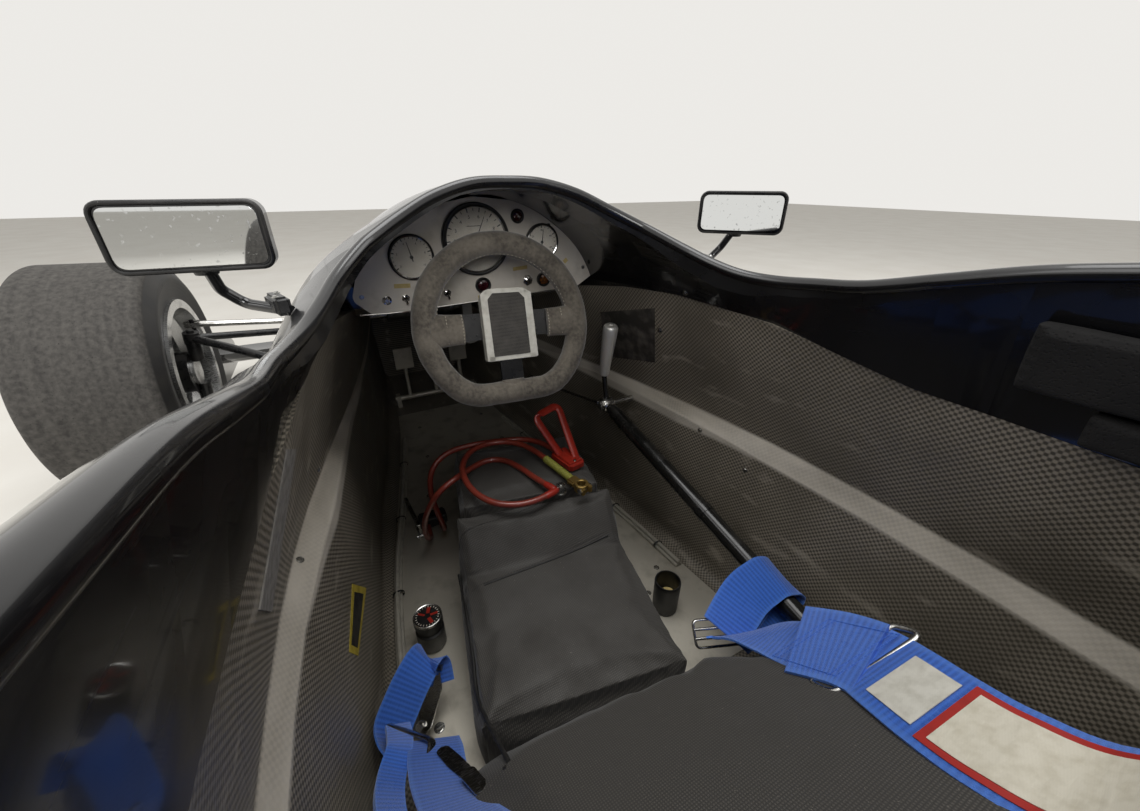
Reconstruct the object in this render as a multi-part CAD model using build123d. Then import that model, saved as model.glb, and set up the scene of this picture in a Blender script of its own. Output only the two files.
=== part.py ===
"""Open wheel racing car: a carbon tub with its upper body, wings, running gear and a furnished cockpit.

Millimetres. +X points forward, +Y to the driver's left and +Z up. The origin lies on the ground, on the
centre line, half way along the car.
"""

import os
from math import atan2, cos, degrees, pi, radians, sin, tan

from build123d import *

os.makedirs("parts", exist_ok=True)

# Overall sizes
LENGTH = 4200.0
NOSE_X = LENGTH / 2
TAIL_X = -LENGTH / 2
WHEELBASE = 2700.0
FRONT_OVERHANG = 850.0
FRONT_AXLE_X = NOSE_X - FRONT_OVERHANG
REAR_AXLE_X = FRONT_AXLE_X - WHEELBASE

# Clearances
SEAT_GAP = 0.2
RUN_GAP = 0.05
MOVE_GAP = 5.0
FIT_GAP = 0.3

# The share of a run that one corner's arc may take, and the smooth rows added per row of a section table
CORNER_SHARE = 0.45
EASED_STEPS = 3

# Tub walls
TUB_WALL = 18.0
TUB_FLOOR_Z = 86.0
TUB_FLOOR_THICKNESS = 30.0
TUB_REAR_X = -330.0
TUB_FRONT_X = 1480.0
BULKHEAD = 30.0
UNDERTRAY_THICKNESS = 14.0
COVER_SKIN = 8.0

# Columns: x, floor y, low ledge y and z, high ledge y and z, seam y and z, rise of the cavity over the seam
TUB_SECTIONS = [
    (TUB_REAR_X, 285, 315, 337, 326, 364, 294, 523, 20),
    (60, 285, 315, 337, 326, 364, 290, 527, 20),
    (220, 278, 306, 336, 320, 364, 260, 556, 20),
    (380, 260, 272, 352, 300, 358, 244, 562, 20),
    (620, 236, 241, 347, 247, 362, 200, 534, 20),
    (700, 222, 227, 338, 232, 352, 190, 518, -14),
    (1000, 172, 180, 310, 184, 322, 160, 454, -14),
    (TUB_FRONT_X, 128, 138, 240, 141, 250, 125, 364, -14),
]
TUB_OUTER_RADII = (30, 5, 5, 0)
TUB_INNER_RADII = (24, 5, 5, 0)
TUB_STEPS = 2

# Columns: x, skirt y and z, belt y and z, shoulder y and z, top y and z
BODY_SECTIONS = [
    (TUB_REAR_X, 375, 300, 350, 540, 296, 690, 262, 712),
    (0, 372, 300, 350, 530, 306, 618, 278, 657),
    (171, 368, 300, 345, 515, 300, 590, 270, 618),
    (291, 352, 300, 330, 510, 250, 618, 90, 668),
    (430, 335, 310, 315, 500, 235, 635, 70, 718),
    (620, 284, 335, 272, 480, 215, 602, 95, 702),
    (1000, 212, 385, 202, 430, 150, 500, 50, 560),
    (TUB_FRONT_X, 162, 362, 159, 374, 120, 394, 45, 412),
]
BODY_RADII = (0, 60, 200, 240)

# Columns: x, low y and z, rim y and z, top y and z
COCKPIT_SECTIONS = [
    (TUB_REAR_X + BULKHEAD, 310, 450, 264, 680, 250, 760),
    (0, 310, 450, 262, 640, 242, 720),
    (171, 300, 450, 256, 600, 236, 680),
    (291, 289, 450, 238, 606, 84, 656),
    (430, 262, 450, 222, 624, 64, 706),
    (660, 232, 450, 194, 590, 82, 688),
]
COCKPIT_RADII = (0, 200, 240)
# Columns: x, half width of the cockpit opening
OPENING_OUTLINE = [(TUB_REAR_X + BULKHEAD, 250), (171, 258), (262, 241), (394, 184), (436, 42)]
OPENING_RADIUS = 400.0
OPENING_LOW_Z = 560.0

# Columns: x, bottom y and z, side y and z, shoulder y and z, top y and z
NOSE_SECTIONS = [
    (TUB_FRONT_X, 147, 56, 162, 335, 120, 394, 45, 412),
    (1800, 105, 78, 112, 240, 85, 275, 35, 292),
    (NOSE_X, 45, 112, 48, 140, 36, 165, 18, 176),
]
NOSE_RADII = (25, 40, 200, 240)

# Columns: x, skirt y and z, belt y and z, shoulder y and z, top y and z
COVER_SECTIONS = [
    (TUB_REAR_X - FIT_GAP, 375, 300, 350, 540, 296, 690, 262, 712),
    (-760, 320, 300, 290, 430, 190, 590, 110, 640),
    (-1110, 205, 372, 195, 425, 135, 500, 80, 525),
]
# Columns: x, half width and z at the base, half width and z at the top
FAIRING_SECTIONS = [
    (-345, 105, 690, 55, 900),
    (-700, 70, 620, 35, 790),
    (-1000, 40, 540, 20, 600),
]
FAIRING_RADIUS = 40.0
COVER_LOW_Z = 301.0
END_REACH = 1.0

# Sidepods, columns: x, outer y, top z
POD_SECTIONS = [(545, 640, 299), (-150, 640, 299), (-640, 470, 280)]
POD_INNER_Y = 290.0
POD_WALL = 22.0
RADIATOR_X = -120.0
RADIATOR_THICKNESS = 45.0

# Floor under the car
UNDERTRAY_HALF_WIDTH = 645.0
UNDERTRAY_REAR_X = -1120.0
DIFFUSER_HALF_WIDTH = 380.0
DIFFUSER_REAR_X = -1800.0
DIFFUSER_REAR_Z = 165.0
DIFFUSER_THICKNESS = 10.0

# Wings
WING_SPAN = 1290.0
END_PLATE = 7.0
REAR_WING_SPAN = 1000.0
REAR_WING_Z = 800.0

# Front wheels
FRONT_TYRE_RADIUS = 274.0
FRONT_TYRE_WIDTH = 250.0
FRONT_TREAD_WIDTH = 208.0
FRONT_RIM_WIDTH = 244.0
FRONT_WHEEL_Y = 700.0
FRONT_CAMBER = 1.5

# Rear wheels
REAR_TYRE_RADIUS = 287.0
REAR_TYRE_WIDTH = 294.0
REAR_TREAD_WIDTH = 256.0
REAR_RIM_WIDTH = 292.0
REAR_WHEEL_Y = 705.0
REAR_CAMBER = 1.0

# Rims and tyres
BEAD_RADIUS = 165.0
FLANGE_RADIUS = 182.0
FLANGE_THICKNESS = 7.0
WELL_RADIUS = 143.0
RIM_WALL = 7.0
SHOULDER_DROP = 40.0
SHOULDER_RADIUS = 20.0
CROWN_RADIUS = 18.0
SPIDER_OFFSET = 30.0
SPIDER_THICKNESS = 18.0
WINDOW_COUNT = 8
WINDOW_RADIUS = 19.0
WINDOW_CIRCLE = 92.0
HUB_RADIUS = 35.0
HUB_NUT_RADIUS = 30.0
HUB_NUT_LENGTH = 32.0
HUB_COLLAR_RADIUS = 40.0
HUB_COLLAR_LENGTH = 6.0
DISC_RADIUS = 112.0
DISC_THICKNESS = 20.0
DISC_OFFSET = -46.0
CALIPER_CHEEK = 16.0
CALIPER_LOW_RADIUS = 78.0
CALIPER_HEIGHT = 84.0
CALIPER_SETBACK = 40.0
BEARING_RADIUS = 52.0
BEARING_INNER_OFFSET = -112.0
BEARING_LENGTH = 50.0

# Front suspension points of the left side: x, y, z
KINGPIN_LOW = (1254, 588, 172)
KINGPIN_TOP = (1244, 566, 362)
PIN_RADIUS = 8.0
BOSS_RADIUS = 17.0
BOSS_HEIGHT = 28.0
UPPER_ARM_FRONT = (1400, 130, 296)
UPPER_ARM_REAR = (910, 190, 292)
LOWER_ARM_FRONT = (1400, 130, 128)
LOWER_ARM_REAR = (960, 170, 124)
PUSHROD_INNER = (1180, 150, 348)
ARM_RADIUS = 9.0
PUSHROD_RADIUS = 8.0
STEER_LIMIT = 18.0

# Steering
WHEEL_CENTRE = (472, 0, 524)
WHEEL_RAKE = 19.0
WHEEL_WIDTH = 270.0
WHEEL_HEIGHT = 252.0
WHEEL_GRIP_RADIUS = 17.5
WHEEL_TURN = 3.0
WHEEL_FOOT_RADIUS = 42.0
WHEEL_PAD = (78, 102, 20)
WHEEL_PAD_CORNER = 12.0
SPOKE_HEIGHT = 42.0
SPOKE_THICKNESS = 6.0
LOWER_SPOKE_WIDTH = 34.0
COLUMN_RADIUS = 10.0
BEARING_X = 700.0
JOINT_X = 770.0
SHAFT_END = 34.0
RACK_X = 1312.0
RACK_Z = 345.0
RACK_HALF_LENGTH = 165.0
RACK_RADIUS = 11.0
RACK_HOUSING_RADIUS = 20.0
RACK_HOUSING_HALF_LENGTH = 96.0
ARM_PIN = (1312, 571, 380)
ARM_PIN_RADIUS = 5.0
ARM_PIN_REACH = 12.0
ARM_PIN_FOOT = 23.0
STEERING_ARM_DROP = 36.0
STEERING_ARM_RADIUS = 9.0
EYE_HALF_HEIGHT = 6.0
EYE_DRIFT = 8.0
EYE_WALL = 6.0
TRACK_ROD_RADIUS = 8.0

# Rear suspension points of the left side: x, y, z
REAR_TOP = (-1446, 552, 392)
REAR_LOW = (-1456, 572, 172)
REAR_ARMS = [
    (REAR_TOP, (-1130, 60, 336)),
    (REAR_TOP, (-1560, 40, 322)),
    (REAR_LOW, (-1080, 60, 150)),
    (REAR_LOW, (-1600, 40, 214)),
    ((-1530, 560, 300), (-1580, 40, 268)),
    ((-1420, 520, 200), (-1290, 40, 400)),
]

# Engine and gearbox
ENGINE_SIZE = (490, 300, 440)
ENGINE_FRONT_X = TUB_REAR_X - SEAT_GAP
ENGINE_LOW_Z = 76.0
# Columns: x, half width, bottom z, top z
GEARBOX_SECTIONS = [
    (ENGINE_FRONT_X - ENGINE_SIZE[0] - SEAT_GAP, 165, 90, 430), (-1130, 110, 120, 390), (-1640, 92, 190, 370),
]
SHAFT_RADIUS = 16.0
OUTPUT_RADIUS = 55.0

# Dashboard
DASH_X = 590.0
DASH_THICKNESS = 3.0
# Columns: y, z, corner radius of the panel's outline, from the left tip round
DASH_OUTLINE = [
    (196, 556, 14), (172, 532, 18), (117, 531, 30), (-147, 539, 30), (-186, 542, 20), (-220, 562, 14),
    (-206, 604, 30), (-150, 650, 30), (-98, 684, 30), (0, 694, 60), (65, 682, 40), (154, 620, 30),
    (184, 590, 20),
]
# Columns: y, z, radius, depth behind the panel, height in front of it
DIALS = [
    (0, 632, 54.5, 52, 9), (102, 612, 33.5, 40, 7), (-114, 622, 30, 40, 7), (-72, 664, 11, 25, 5),
    (-5, 560, 13, 25, 6), (-115, 560, 12, 25, 7), (-85, 561, 9, 22, 12), (148, 552, 7, 20, 10),
    (120, 552, 6, 22, 14), (55, 553, 6, 22, 14),
]
DIAL_BODY_SHARE = 0.86

# Mirrors
MIRROR_CENTRE = (339, 305, 676)
MIRROR_SIZE = (20, 112, 54)
MIRROR_TURNS = (-6.0, 48.0)
MIRROR_CORNER = 11.0
MIRROR_STALK = [(345, 305, 656), (366, 304, 628), (372, 290, 612), (340, 252, 608)]
MIRROR_STALK_RADIUS = 5.0
MIRROR_STALK_BEND = 12.0

# Gear shift
SHIFT_PIVOT = (495, -200, 334)
SHIFT_GRIP_LOW = (510, -200, 389)
SHIFT_GRIP_TOP = (493, -200, 490)
SHIFT_ROD_RADIUS = 5.0
SHIFT_GRIP_RADII = (9.5, 13.5)
SHIFT_CROWN = 4.0
LINKAGE_REAR = (-296, -216, 160)
LINKAGE_RADIUS = 13.0

# Seat pads: the thigh pad's side outline x, z, and the back pad's side outline
THIGH_OUTLINE = [(384, 88), (384, 262), (372, 270), (308, 205), (104, 200), (104, 88)]
KNEE_OUTLINE = [(385, 88), (385, 268), (556, 268), (556, 88)]
KNEE_NARROWING = 30.0
THIGH_WIDTH = 262.0
THIGH_CENTRE_Y = 28.0
THIGH_TURN = -10.0
PAD_REAR_X = TUB_REAR_X + BULKHEAD + FIT_GAP
PAD_LOW_Z = TUB_FLOOR_Z + FIT_GAP
BACK_OUTLINE = [
    (112, PAD_LOW_Z), (112, 206), (82, 240), (-20, 308), (-175, 412), (-268, 600), (PAD_REAR_X, 600),
    (PAD_REAR_X, PAD_LOW_Z),
]
# The back pad's plan, x and y from its left front corner round
BACK_PLAN = [(108, 205), (72, -72), (4, -168), (PAD_REAR_X, -168), (PAD_REAR_X, 205)]
BACK_CORNER = 12.0
PAD_TOP_Z = 700.0
# Columns: x rear, x front, z low, z high of the foam pads on each wall
SIDE_PADS = [(-290, -12, 564, 622), (-290, -60, 531, 561)]
SIDE_PAD_THICKNESS = 14.0

# Belts: the lap belts' forms as two corners each, and the straps that lie on the back pad
LAP_BELTS = [
    ((118, 236, 108.2), (300, 262, 124)), ((60, 250, 110), (117.8, 268, 262)),
    ((120, -262, 108.2), (180, -236, 210)), ((60, -262, 180), (119.8, -252, 330)),
]
BELT_WIDTH = 76.0
BELT_THICKNESS = 6.0
SHOULDER_BELT_REACH = (-180, 0)
SHOULDER_BELT_Y = (-108, 150)

# Cockpit floor
FLOOR_SHEET = 2.0
FLOOR_SHEET_INSET = 27.0
FLOOR_SHEET_REAR_X = 114.0
FLOOR_SHEET_FRONT_X = 1120.0

# Battery leads: their radius and the points of their routes
LEAD_RADIUS = 5.0
LEAD_LOOP = [
    (449, -47, 284), (490, -38, 286), (528, -10, 286), (540, 28, 286), (522, 64, 292), (484, 90, 294),
    (445, 97, 292), (408, 90, 286), (378, 70, 281), (360, 40, 280), (356, 8, 280), (362, -18, 280),
]
LEAD_FEED = [
    (377, -24, 279), (408, -12, 279), (452, -2, 277), (488, 14, 277), (502, 42, 277), (490, 74, 277),
    (468, 106, 281), (462, 138, 268), (476, 158, 226), (500, 166, 176), (522, 162, 128), (552, 152, 100),
    (592, 152, 100),
]
LEAD_PLUG = [
    (462, -78, 279), (502, -70, 279), (536, -40, 279), (548, 0, 279), (560, 50, 279), (560, 100, 277),
    (546, 134, 258), (538, 142, 212), (536, 134, 160), (544, 126, 118), (566, 126, 100), (592, 126, 100),
]
LEAD_BLOCK = ((592.0, 112.0), (622.0, 166.0), 24.0)

# Wiring clipped along the floor's edges: radius and route of the left and right looms
WIRING_RADIUS = 6.0
LEFT_LOOM = [(200, 252, 94.3), (366, 240, 94.3), (530, 218, 94.3), (720, 180, 94.3), (960, 140, 94.3)]
RIGHT_LOOM = [(284, -234, 94.3), (400, -224, 94.3), (560, -204, 94.3), (760, -170, 94.3), (960, -140, 94.3)]

# Roll hoop
HOOP_X = -315.0
HOOP_FOOT_Y = 150.0
HOOP_TOP_Z = 945.0
HOOP_RADIUS = 17.0
HOOP_BEND = 75.0


def rod(start, end, radius):
    """A round bar from one point to another."""
    line = Vector(*end) - Vector(*start)
    return Solid.make_cylinder(radius, line.length, Plane(origin=start, z_dir=line))


def block(low, high):
    """A box between two corners."""
    size = [b - a for a, b in zip(low, high)]
    return Solid.make_box(*size, Plane(origin=low))


def mirrored(shape):
    """The same piece on the car's other side."""
    return shape.mirror(Plane.XZ)


def both(shape):
    """A left piece and its right twin."""
    return Compound(children=[shape, mirrored(shape)])


def fitting_radii(points, wanted):
    """The wanted corner radii of a closed outline, none larger than its runs allow."""
    radii = []
    for i, limit in enumerate(wanted):
        before = points[i] - points[i - 1]
        after = points[(i + 1) % len(points)] - points[i]
        half_turn = radians(before.get_angle(after)) / 2
        radii.append(min(limit, CORNER_SHARE * min(before.length, after.length) / tan(half_turn)))
    return radii


def ring(x, half_outline, radii):
    """A closed section across the car from one side's y, z points, bottom to top."""
    left = [Vector(x, y, z) for y, z in half_outline]
    right = [Vector(x, -y, z) for y, z in reversed(half_outline)]
    points, corners = left + right, list(radii) + list(reversed(radii))
    return Wire(FilletPolyline(*points, radius=fitting_radii(points, corners), close=True).edges())


def skin(sections, radii):
    """A ruled body through sections, each with its x and its half outline."""
    return Solid.make_loft([ring(x, outline, radii) for x, outline in sections], ruled=True)


def row_slopes(rows, i):
    """Each column's slope along the car at one row, without overshoot at a turning point."""
    if i in (0, len(rows) - 1):
        near, far = (rows[0], rows[1]) if i == 0 else (rows[-2], rows[-1])
        return [(b - a) / (far[0] - near[0]) for a, b in zip(near, far)]
    before, here, after = rows[i - 1:i + 2]
    h0, h1 = here[0] - before[0], after[0] - here[0]
    slopes = []
    for a, b, c in zip(before, here, after):
        d0, d1 = (b - a) / h0, (c - b) / h1
        slopes.append(3 * (h0 + h1) / ((2 * h1 + h0) / d0 + (h1 + 2 * h0) / d1) if d0 * d1 > 0 else 0)
    return slopes


def eased(rows, steps=EASED_STEPS):
    """A section table with smooth rows added between its own, so that its form has no crease at a row."""
    smooth = [rows[0]]
    for i, (here, after) in enumerate(zip(rows, rows[1:])):
        h, m0, m1 = after[0] - here[0], row_slopes(rows, i), row_slopes(rows, i + 1)
        for t in [k / steps for k in range(1, steps)]:
            a, b = 2 * t**3 - 3 * t**2 + 1, (t**3 - 2 * t**2 + t) * h
            c, d = 3 * t**2 - 2 * t**3, (t**3 - t**2) * h
            row = [a * u + b * p + c * v + d * q for u, v, p, q in zip(here, after, m0, m1)]
            smooth.append((here[0] + h * t, *row[1:]))
        smooth.append(after)
    return smooth


def pairs(row, grow=0.0, rise=0.0):
    """A table row as x and its half outline, moved out by grow and up by rise."""
    x, values = row[0], row[1:]
    return x, [(y + grow, z + rise) for y, z in zip(values[::2], values[1::2])]


def tub_outline(row, wall):
    """The tub's half outline at one section: its outside for a wall, else its inside moved in."""
    x, floor, low_y, low_z, high_y, high_z, seam_y, seam_z, rise = row
    lean = (seam_y - high_y) / (seam_z - high_z)
    bottom = TUB_FLOOR_Z - (TUB_FLOOR_THICKNESS if wall > 0 else wall)
    top = (seam_y, seam_z) if wall > 0 else (seam_y + rise * lean, seam_z + rise + wall)
    outline = [(floor, bottom), (low_y, low_z), (high_y, high_z), top]
    return x, [(y + wall, z) for y, z in outline]


def tub_rows():
    """The tub's section table with smooth rows added."""
    return eased(TUB_SECTIONS, TUB_STEPS)


def tub_outside(gap=0.0):
    """The tub's outer form, grown by a gap."""
    return skin([tub_outline(row, TUB_WALL + gap) for row in tub_rows()], TUB_OUTER_RADII)


def tub_inside(gap=0.0):
    """The tub's hollow, shrunk by a gap."""
    rows = [list(row) for row in tub_rows()]
    rows[0][0] += BULKHEAD + gap
    rows[-1][0] -= BULKHEAD + gap
    return skin([tub_outline(row, -gap) for row in rows], TUB_INNER_RADII)


def tub():
    """The hollow tub: open over the cockpit, decked over the driver's legs."""
    cavity = tub_inside()
    passage = rod((RACK_X, -300, RACK_Z), (RACK_X, 300, RACK_Z), RACK_RADIUS + MOVE_GAP)
    linkage = rod(LINKAGE_REAR, toward(LINKAGE_REAR, SHIFT_PIVOT, -120), LINKAGE_RADIUS + FIT_GAP)
    return tub_outside() - cavity - passage - linkage


def toward(start, end, distance):
    """The point at a distance from start towards end."""
    line = Vector(*end) - Vector(*start)
    return Vector(*start) + line.normalized() * distance


def cockpit_space(shrink=0.0):
    """The space inside the upper body."""
    rows = [pairs(row, -shrink, -shrink) for row in eased(COCKPIT_SECTIONS)]
    return skin(rows, COCKPIT_RADII)


def body_outside(gap=0.0):
    """The upper body's outer form, grown by a gap."""
    return skin([pairs(row, gap, gap) for row in eased(BODY_SECTIONS)], BODY_RADII)


def upper_body():
    """The moulded top: rolled cockpit rim, scuttle arch and the deck ahead of it."""
    outside = body_outside()
    sides = [(x, y, 0) for x, y in OPENING_OUTLINE]
    others = [(x, -y, 0) for x, y in reversed(OPENING_OUTLINE)]
    points = [Vector(*point) for point in sides + others]
    corners = [0] + [OPENING_RADIUS] * (len(points) - 2) + [0]
    plan = FilletPolyline(*points, radius=fitting_radii(points, corners), close=True)
    opening = Pos(0, 0, OPENING_LOW_Z) * extrude(make_face(plan.edges()), HOOP_TOP_Z - OPENING_LOW_Z)
    return outside - tub_outside(FIT_GAP) - cockpit_space() - opening


def nose_cone():
    """The nose ahead of the front bulkhead."""
    body = skin([pairs(row) for row in eased(NOSE_SECTIONS)], NOSE_RADII)
    return body - block((TUB_FRONT_X - 1, -300, 0), (TUB_FRONT_X + FIT_GAP, 300, 600))


def aerofoil(chord, thickness, sag):
    """An inverted wing section in x and z: its leading edge at the origin, its top hollow by sag."""
    nose, tail, middle = (0, 0), (-chord, 0), -0.42 * chord
    top = ThreePointArc(nose, (middle, -sag), tail)
    under = ThreePointArc(tail, (middle, -sag - thickness), nose)
    return make_face([top.edge(), under.edge()])


def wing(place, chord, thickness, sag, pitch, half_span):
    """One wing plane across the car, its leading edge at place (x, z), tail raised by pitch."""
    section = Rot(0, 0, -pitch) * aerofoil(chord, thickness, sag)
    plane = Plane(origin=(place[0], half_span, place[1]), x_dir=(1, 0, 0), z_dir=(0, -1, 0))
    return extrude(plane * section, 2 * half_span)


def front_wing():
    """Main plane, flap and end plates, in two halves that seat on the nose."""
    half = WING_SPAN / 2
    planes = wing((1985, 118), 230, 22, 8, 4, half - 1) + wing((1775, 142), 95, 12, 6, 22, half - 1)
    plate_outline = [(1655, 60), (2000, 60), (2015, 130), (1960, 175), (1655, 235)]
    plate = Plane.XZ * make_face(FilletPolyline(*plate_outline, radius=18, close=True).edges())
    end = Pos(0, half, 0) * extrude(plate, END_PLATE)
    grown = skin([pairs(row, SEAT_GAP) for row in eased(NOSE_SECTIONS)], NOSE_RADII)
    under = block((1400, -104, 0), (NOSE_X + 100, 104, 200))
    left = (planes & block((1400, 0, 0), (2200, 900, 500))) + end - grown
    left = left - (under & block((1400, -40, 0), (2200, 40, 500)))
    return both(left.solids().sort_by(SortBy.VOLUME)[-1])


def undertray():
    """The flat floor and its rising diffuser."""
    top = TUB_FLOOR_Z - TUB_FLOOR_THICKNESS - SEAT_GAP
    low = top - UNDERTRAY_THICKNESS
    outline = [
        (1500, 128), (620, 206), (545, UNDERTRAY_HALF_WIDTH), (UNDERTRAY_REAR_X, UNDERTRAY_HALF_WIDTH),
        (UNDERTRAY_REAR_X, -UNDERTRAY_HALF_WIDTH), (545, -UNDERTRAY_HALF_WIDTH), (620, -206), (1500, -128),
    ]
    flat = Pos(0, 0, low) * extrude(make_face(Polyline(*outline, close=True).edges()), top - low)
    start = UNDERTRAY_REAR_X + 30
    profile = [
        (start, low), (DIFFUSER_REAR_X, DIFFUSER_REAR_Z),
        (DIFFUSER_REAR_X, DIFFUSER_REAR_Z + DIFFUSER_THICKNESS), (start, top),
    ]
    side = Plane.XZ * make_face(Polyline(*profile, close=True).edges())
    ramp = Pos(0, DIFFUSER_HALF_WIDTH, 0) * extrude(side, 2 * DIFFUSER_HALF_WIDTH)
    return flat + ramp


def sidepod():
    """The left sidepod: a duct from its front inlet, a radiator across it and an open rear."""
    low = TUB_FLOOR_Z - TUB_FLOOR_THICKNESS
    def box_ring(x, inner, outer, bottom, top, radius):
        points = [(x, inner, bottom), (x, outer, bottom), (x, outer, top), (x, inner, top)]
        return Wire(FilletPolyline(*points, radius=radius, close=True).edges())
    shells = [box_ring(x, POD_INNER_Y, y, low, top, 30) for x, y, top in POD_SECTIONS]
    w = POD_WALL
    ducts = [
        box_ring(x, POD_INNER_Y + 58 + w, y - w, low + w, top - w, 24) for x, y, top in POD_SECTIONS
    ]
    shell = Solid.make_loft(shells, ruled=True)
    duct = Solid.make_loft(ducts, ruled=True)
    core = block((RADIATOR_X, 0, 0), (RADIATOR_X + RADIATOR_THICKNESS, 900, 600))
    return shell - (duct - core) - tub_outside(SEAT_GAP)


def engine_cover():
    """The cover over the engine with the fairing behind the roll hoop."""
    outside = skin([pairs(row) for row in eased(COVER_SECTIONS)], BODY_RADII)
    rows = [pairs(row, -COVER_SKIN, -COVER_SKIN) for row in eased(COVER_SECTIONS)]
    (front, first), (rear, last) = rows[0], rows[-1]
    rows = [(front + END_REACH, first), *rows[1:-1], (rear - END_REACH, last)]
    fairing = skin([pairs(row) for row in eased(FAIRING_SECTIONS)], (0, FAIRING_RADIUS))
    under = block((TAIL_X, -POD_INNER_Y * 2, 0), (0, POD_INNER_Y * 2, COVER_LOW_Z))
    return outside + fairing - skin(rows, BODY_RADII) - under


def roll_hoop():
    """The main hoop over the driver's head."""
    foot = BODY_SECTIONS[0][8] + SEAT_GAP
    points = [
        (HOOP_X, HOOP_FOOT_Y, foot), (HOOP_X, HOOP_FOOT_Y * 0.72, HOOP_TOP_Z - HOOP_RADIUS),
        (HOOP_X, -HOOP_FOOT_Y * 0.72, HOOP_TOP_Z - HOOP_RADIUS), (HOOP_X, -HOOP_FOOT_Y, foot),
    ]
    path = FilletPolyline(*points, radius=HOOP_BEND)
    hoop = sweep(Plane(origin=points[0], z_dir=path % 0) * Circle(HOOP_RADIUS), path)
    return hoop - block((HOOP_X - 60, -400, 0), (HOOP_X + 60, 400, foot))


def engine():
    """The engine as a plain block at its real size."""
    length, width, height = ENGINE_SIZE
    body = Box(length, width, height)
    return Pos(ENGINE_FRONT_X - length / 2, 0, ENGINE_LOW_Z + height / 2) * fillet(body.edges(), 20)


def gearbox_form(gap=0.0):
    """The gearbox casing's outer form, grown by a gap."""
    rows = [(x, [(y + gap, low - gap), (y + gap, top + gap)]) for x, y, low, top in GEARBOX_SECTIONS]
    casing = skin(rows, (18, 18))
    hub = wheel_centre("rear")
    outputs = rod((hub.X, -128 - gap, hub.Z), (hub.X, 128 + gap, hub.Z), OUTPUT_RADIUS + gap)
    return casing + outputs


def gearbox():
    """The gearbox with the shafts' output flanges."""
    return gearbox_form()


def exhaust():
    """The exhaust pipe down the right side."""
    side = ENGINE_SIZE[1] / 2 + SEAT_GAP
    points = [(-560, -side, 250), (-560, -250, 250), (-980, -262, 240), (-1190, -330, 250)]
    path = FilletPolyline(*points, radius=60)
    start = Plane(origin=points[0], z_dir=path % 0)
    return sweep(start * Circle(30), path) - sweep(start * Circle(27), path)


def rear_wing():
    """Beam, main plane and flap between end plates, on two pillars from the gearbox."""
    half = REAR_WING_SPAN / 2
    planes = wing((-1790, REAR_WING_Z), 230, 30, 14, 6, half)
    planes = planes + wing((-2000, REAR_WING_Z + 42), 95, 14, 8, 30, half)
    planes = planes + wing((-1800, 560), 180, 18, 8, 4, half)
    outline = [(-1760, 520), (TAIL_X + 20, 520), (TAIL_X, 900), (-1800, 900), (-1760, 800)]
    plate = Plane.XZ * make_face(FilletPolyline(*outline, radius=(30, 30, 0, 20, 40), close=True).edges())
    end = Pos(0, half + END_PLATE, 0) * extrude(plate, END_PLATE)
    pillar_outline = [(-1480, 340), (-1630, 340), (-1630, 376), (-1960, 552), (-1830, 552), (-1560, 430)]
    pillar = Plane.XZ * make_face(Polyline(*pillar_outline, close=True).edges())
    strut = Pos(0, 60, 0) * extrude(pillar, 8)
    return planes + end + mirrored(end) + (strut + mirrored(strut) - gearbox_form(SEAT_GAP))


def camber_axis(camber):
    """The wheel's axis, pointing outward on the left side."""
    return Vector(0, cos(radians(camber)), sin(radians(camber)))


def wheel_size(end):
    """Tyre radius, tyre width, tread width, rim width and camber of the front or rear wheels."""
    if end == "front":
        return FRONT_TYRE_RADIUS, FRONT_TYRE_WIDTH, FRONT_TREAD_WIDTH, FRONT_RIM_WIDTH, FRONT_CAMBER
    return REAR_TYRE_RADIUS, REAR_TYRE_WIDTH, REAR_TREAD_WIDTH, REAR_RIM_WIDTH, REAR_CAMBER


def wheel_centre(end):
    """The left wheel's centre, as high as its tyre needs to stand on the ground."""
    radius, width, tread, _, camber = wheel_size(end)
    lean = radians(camber)
    slope = atan2(SHOULDER_DROP, (width - tread) / 2)
    flat = tread / 2 - CROWN_RADIUS * tan(slope / 2)
    height = (radius - CROWN_RADIUS) * cos(lean) + flat * sin(lean) + CROWN_RADIUS
    x, y = (FRONT_AXLE_X, FRONT_WHEEL_Y) if end == "front" else (REAR_AXLE_X, REAR_WHEEL_Y)
    return Vector(x, y, height)


def on_axle(end, offset):
    """The point on the left wheel's axis at an offset outward from its centre."""
    return wheel_centre(end) + camber_axis(wheel_size(end)[4]) * offset


def lathe(profile, end):
    """A profile of offset and radius turned about the left wheel's axis."""
    axis = camber_axis(wheel_size(end)[4])
    frame = Plane(origin=wheel_centre(end), x_dir=(1, 0, 0), z_dir=axis)
    face = Plane.XZ * profile
    return frame.location * revolve(face, Axis.Z)


def tyre(end):
    """A slick tyre: flat tread, round shoulders and bulged sidewalls down to the beads."""
    radius, width, tread, rim, _ = wheel_size(end)
    bead = rim / 2 - FLANGE_THICKNESS - FIT_GAP
    base = BEAD_RADIUS + FIT_GAP
    crown, wall, shoulder = tread / 2, width / 2, radius - SHOULDER_DROP
    points = [
        (base, -bead), (FLANGE_RADIUS + 6, -bead), (shoulder, -wall), (radius, -crown),
        (radius, crown), (shoulder, wall), (FLANGE_RADIUS + 6, bead), (base, bead),
    ]
    corners = (0, 4, SHOULDER_RADIUS, CROWN_RADIUS, CROWN_RADIUS, SHOULDER_RADIUS, 4, 0)
    outline = FilletPolyline(*points, radius=corners, close=True)
    return lathe(make_face(outline.edges()), end)


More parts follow.
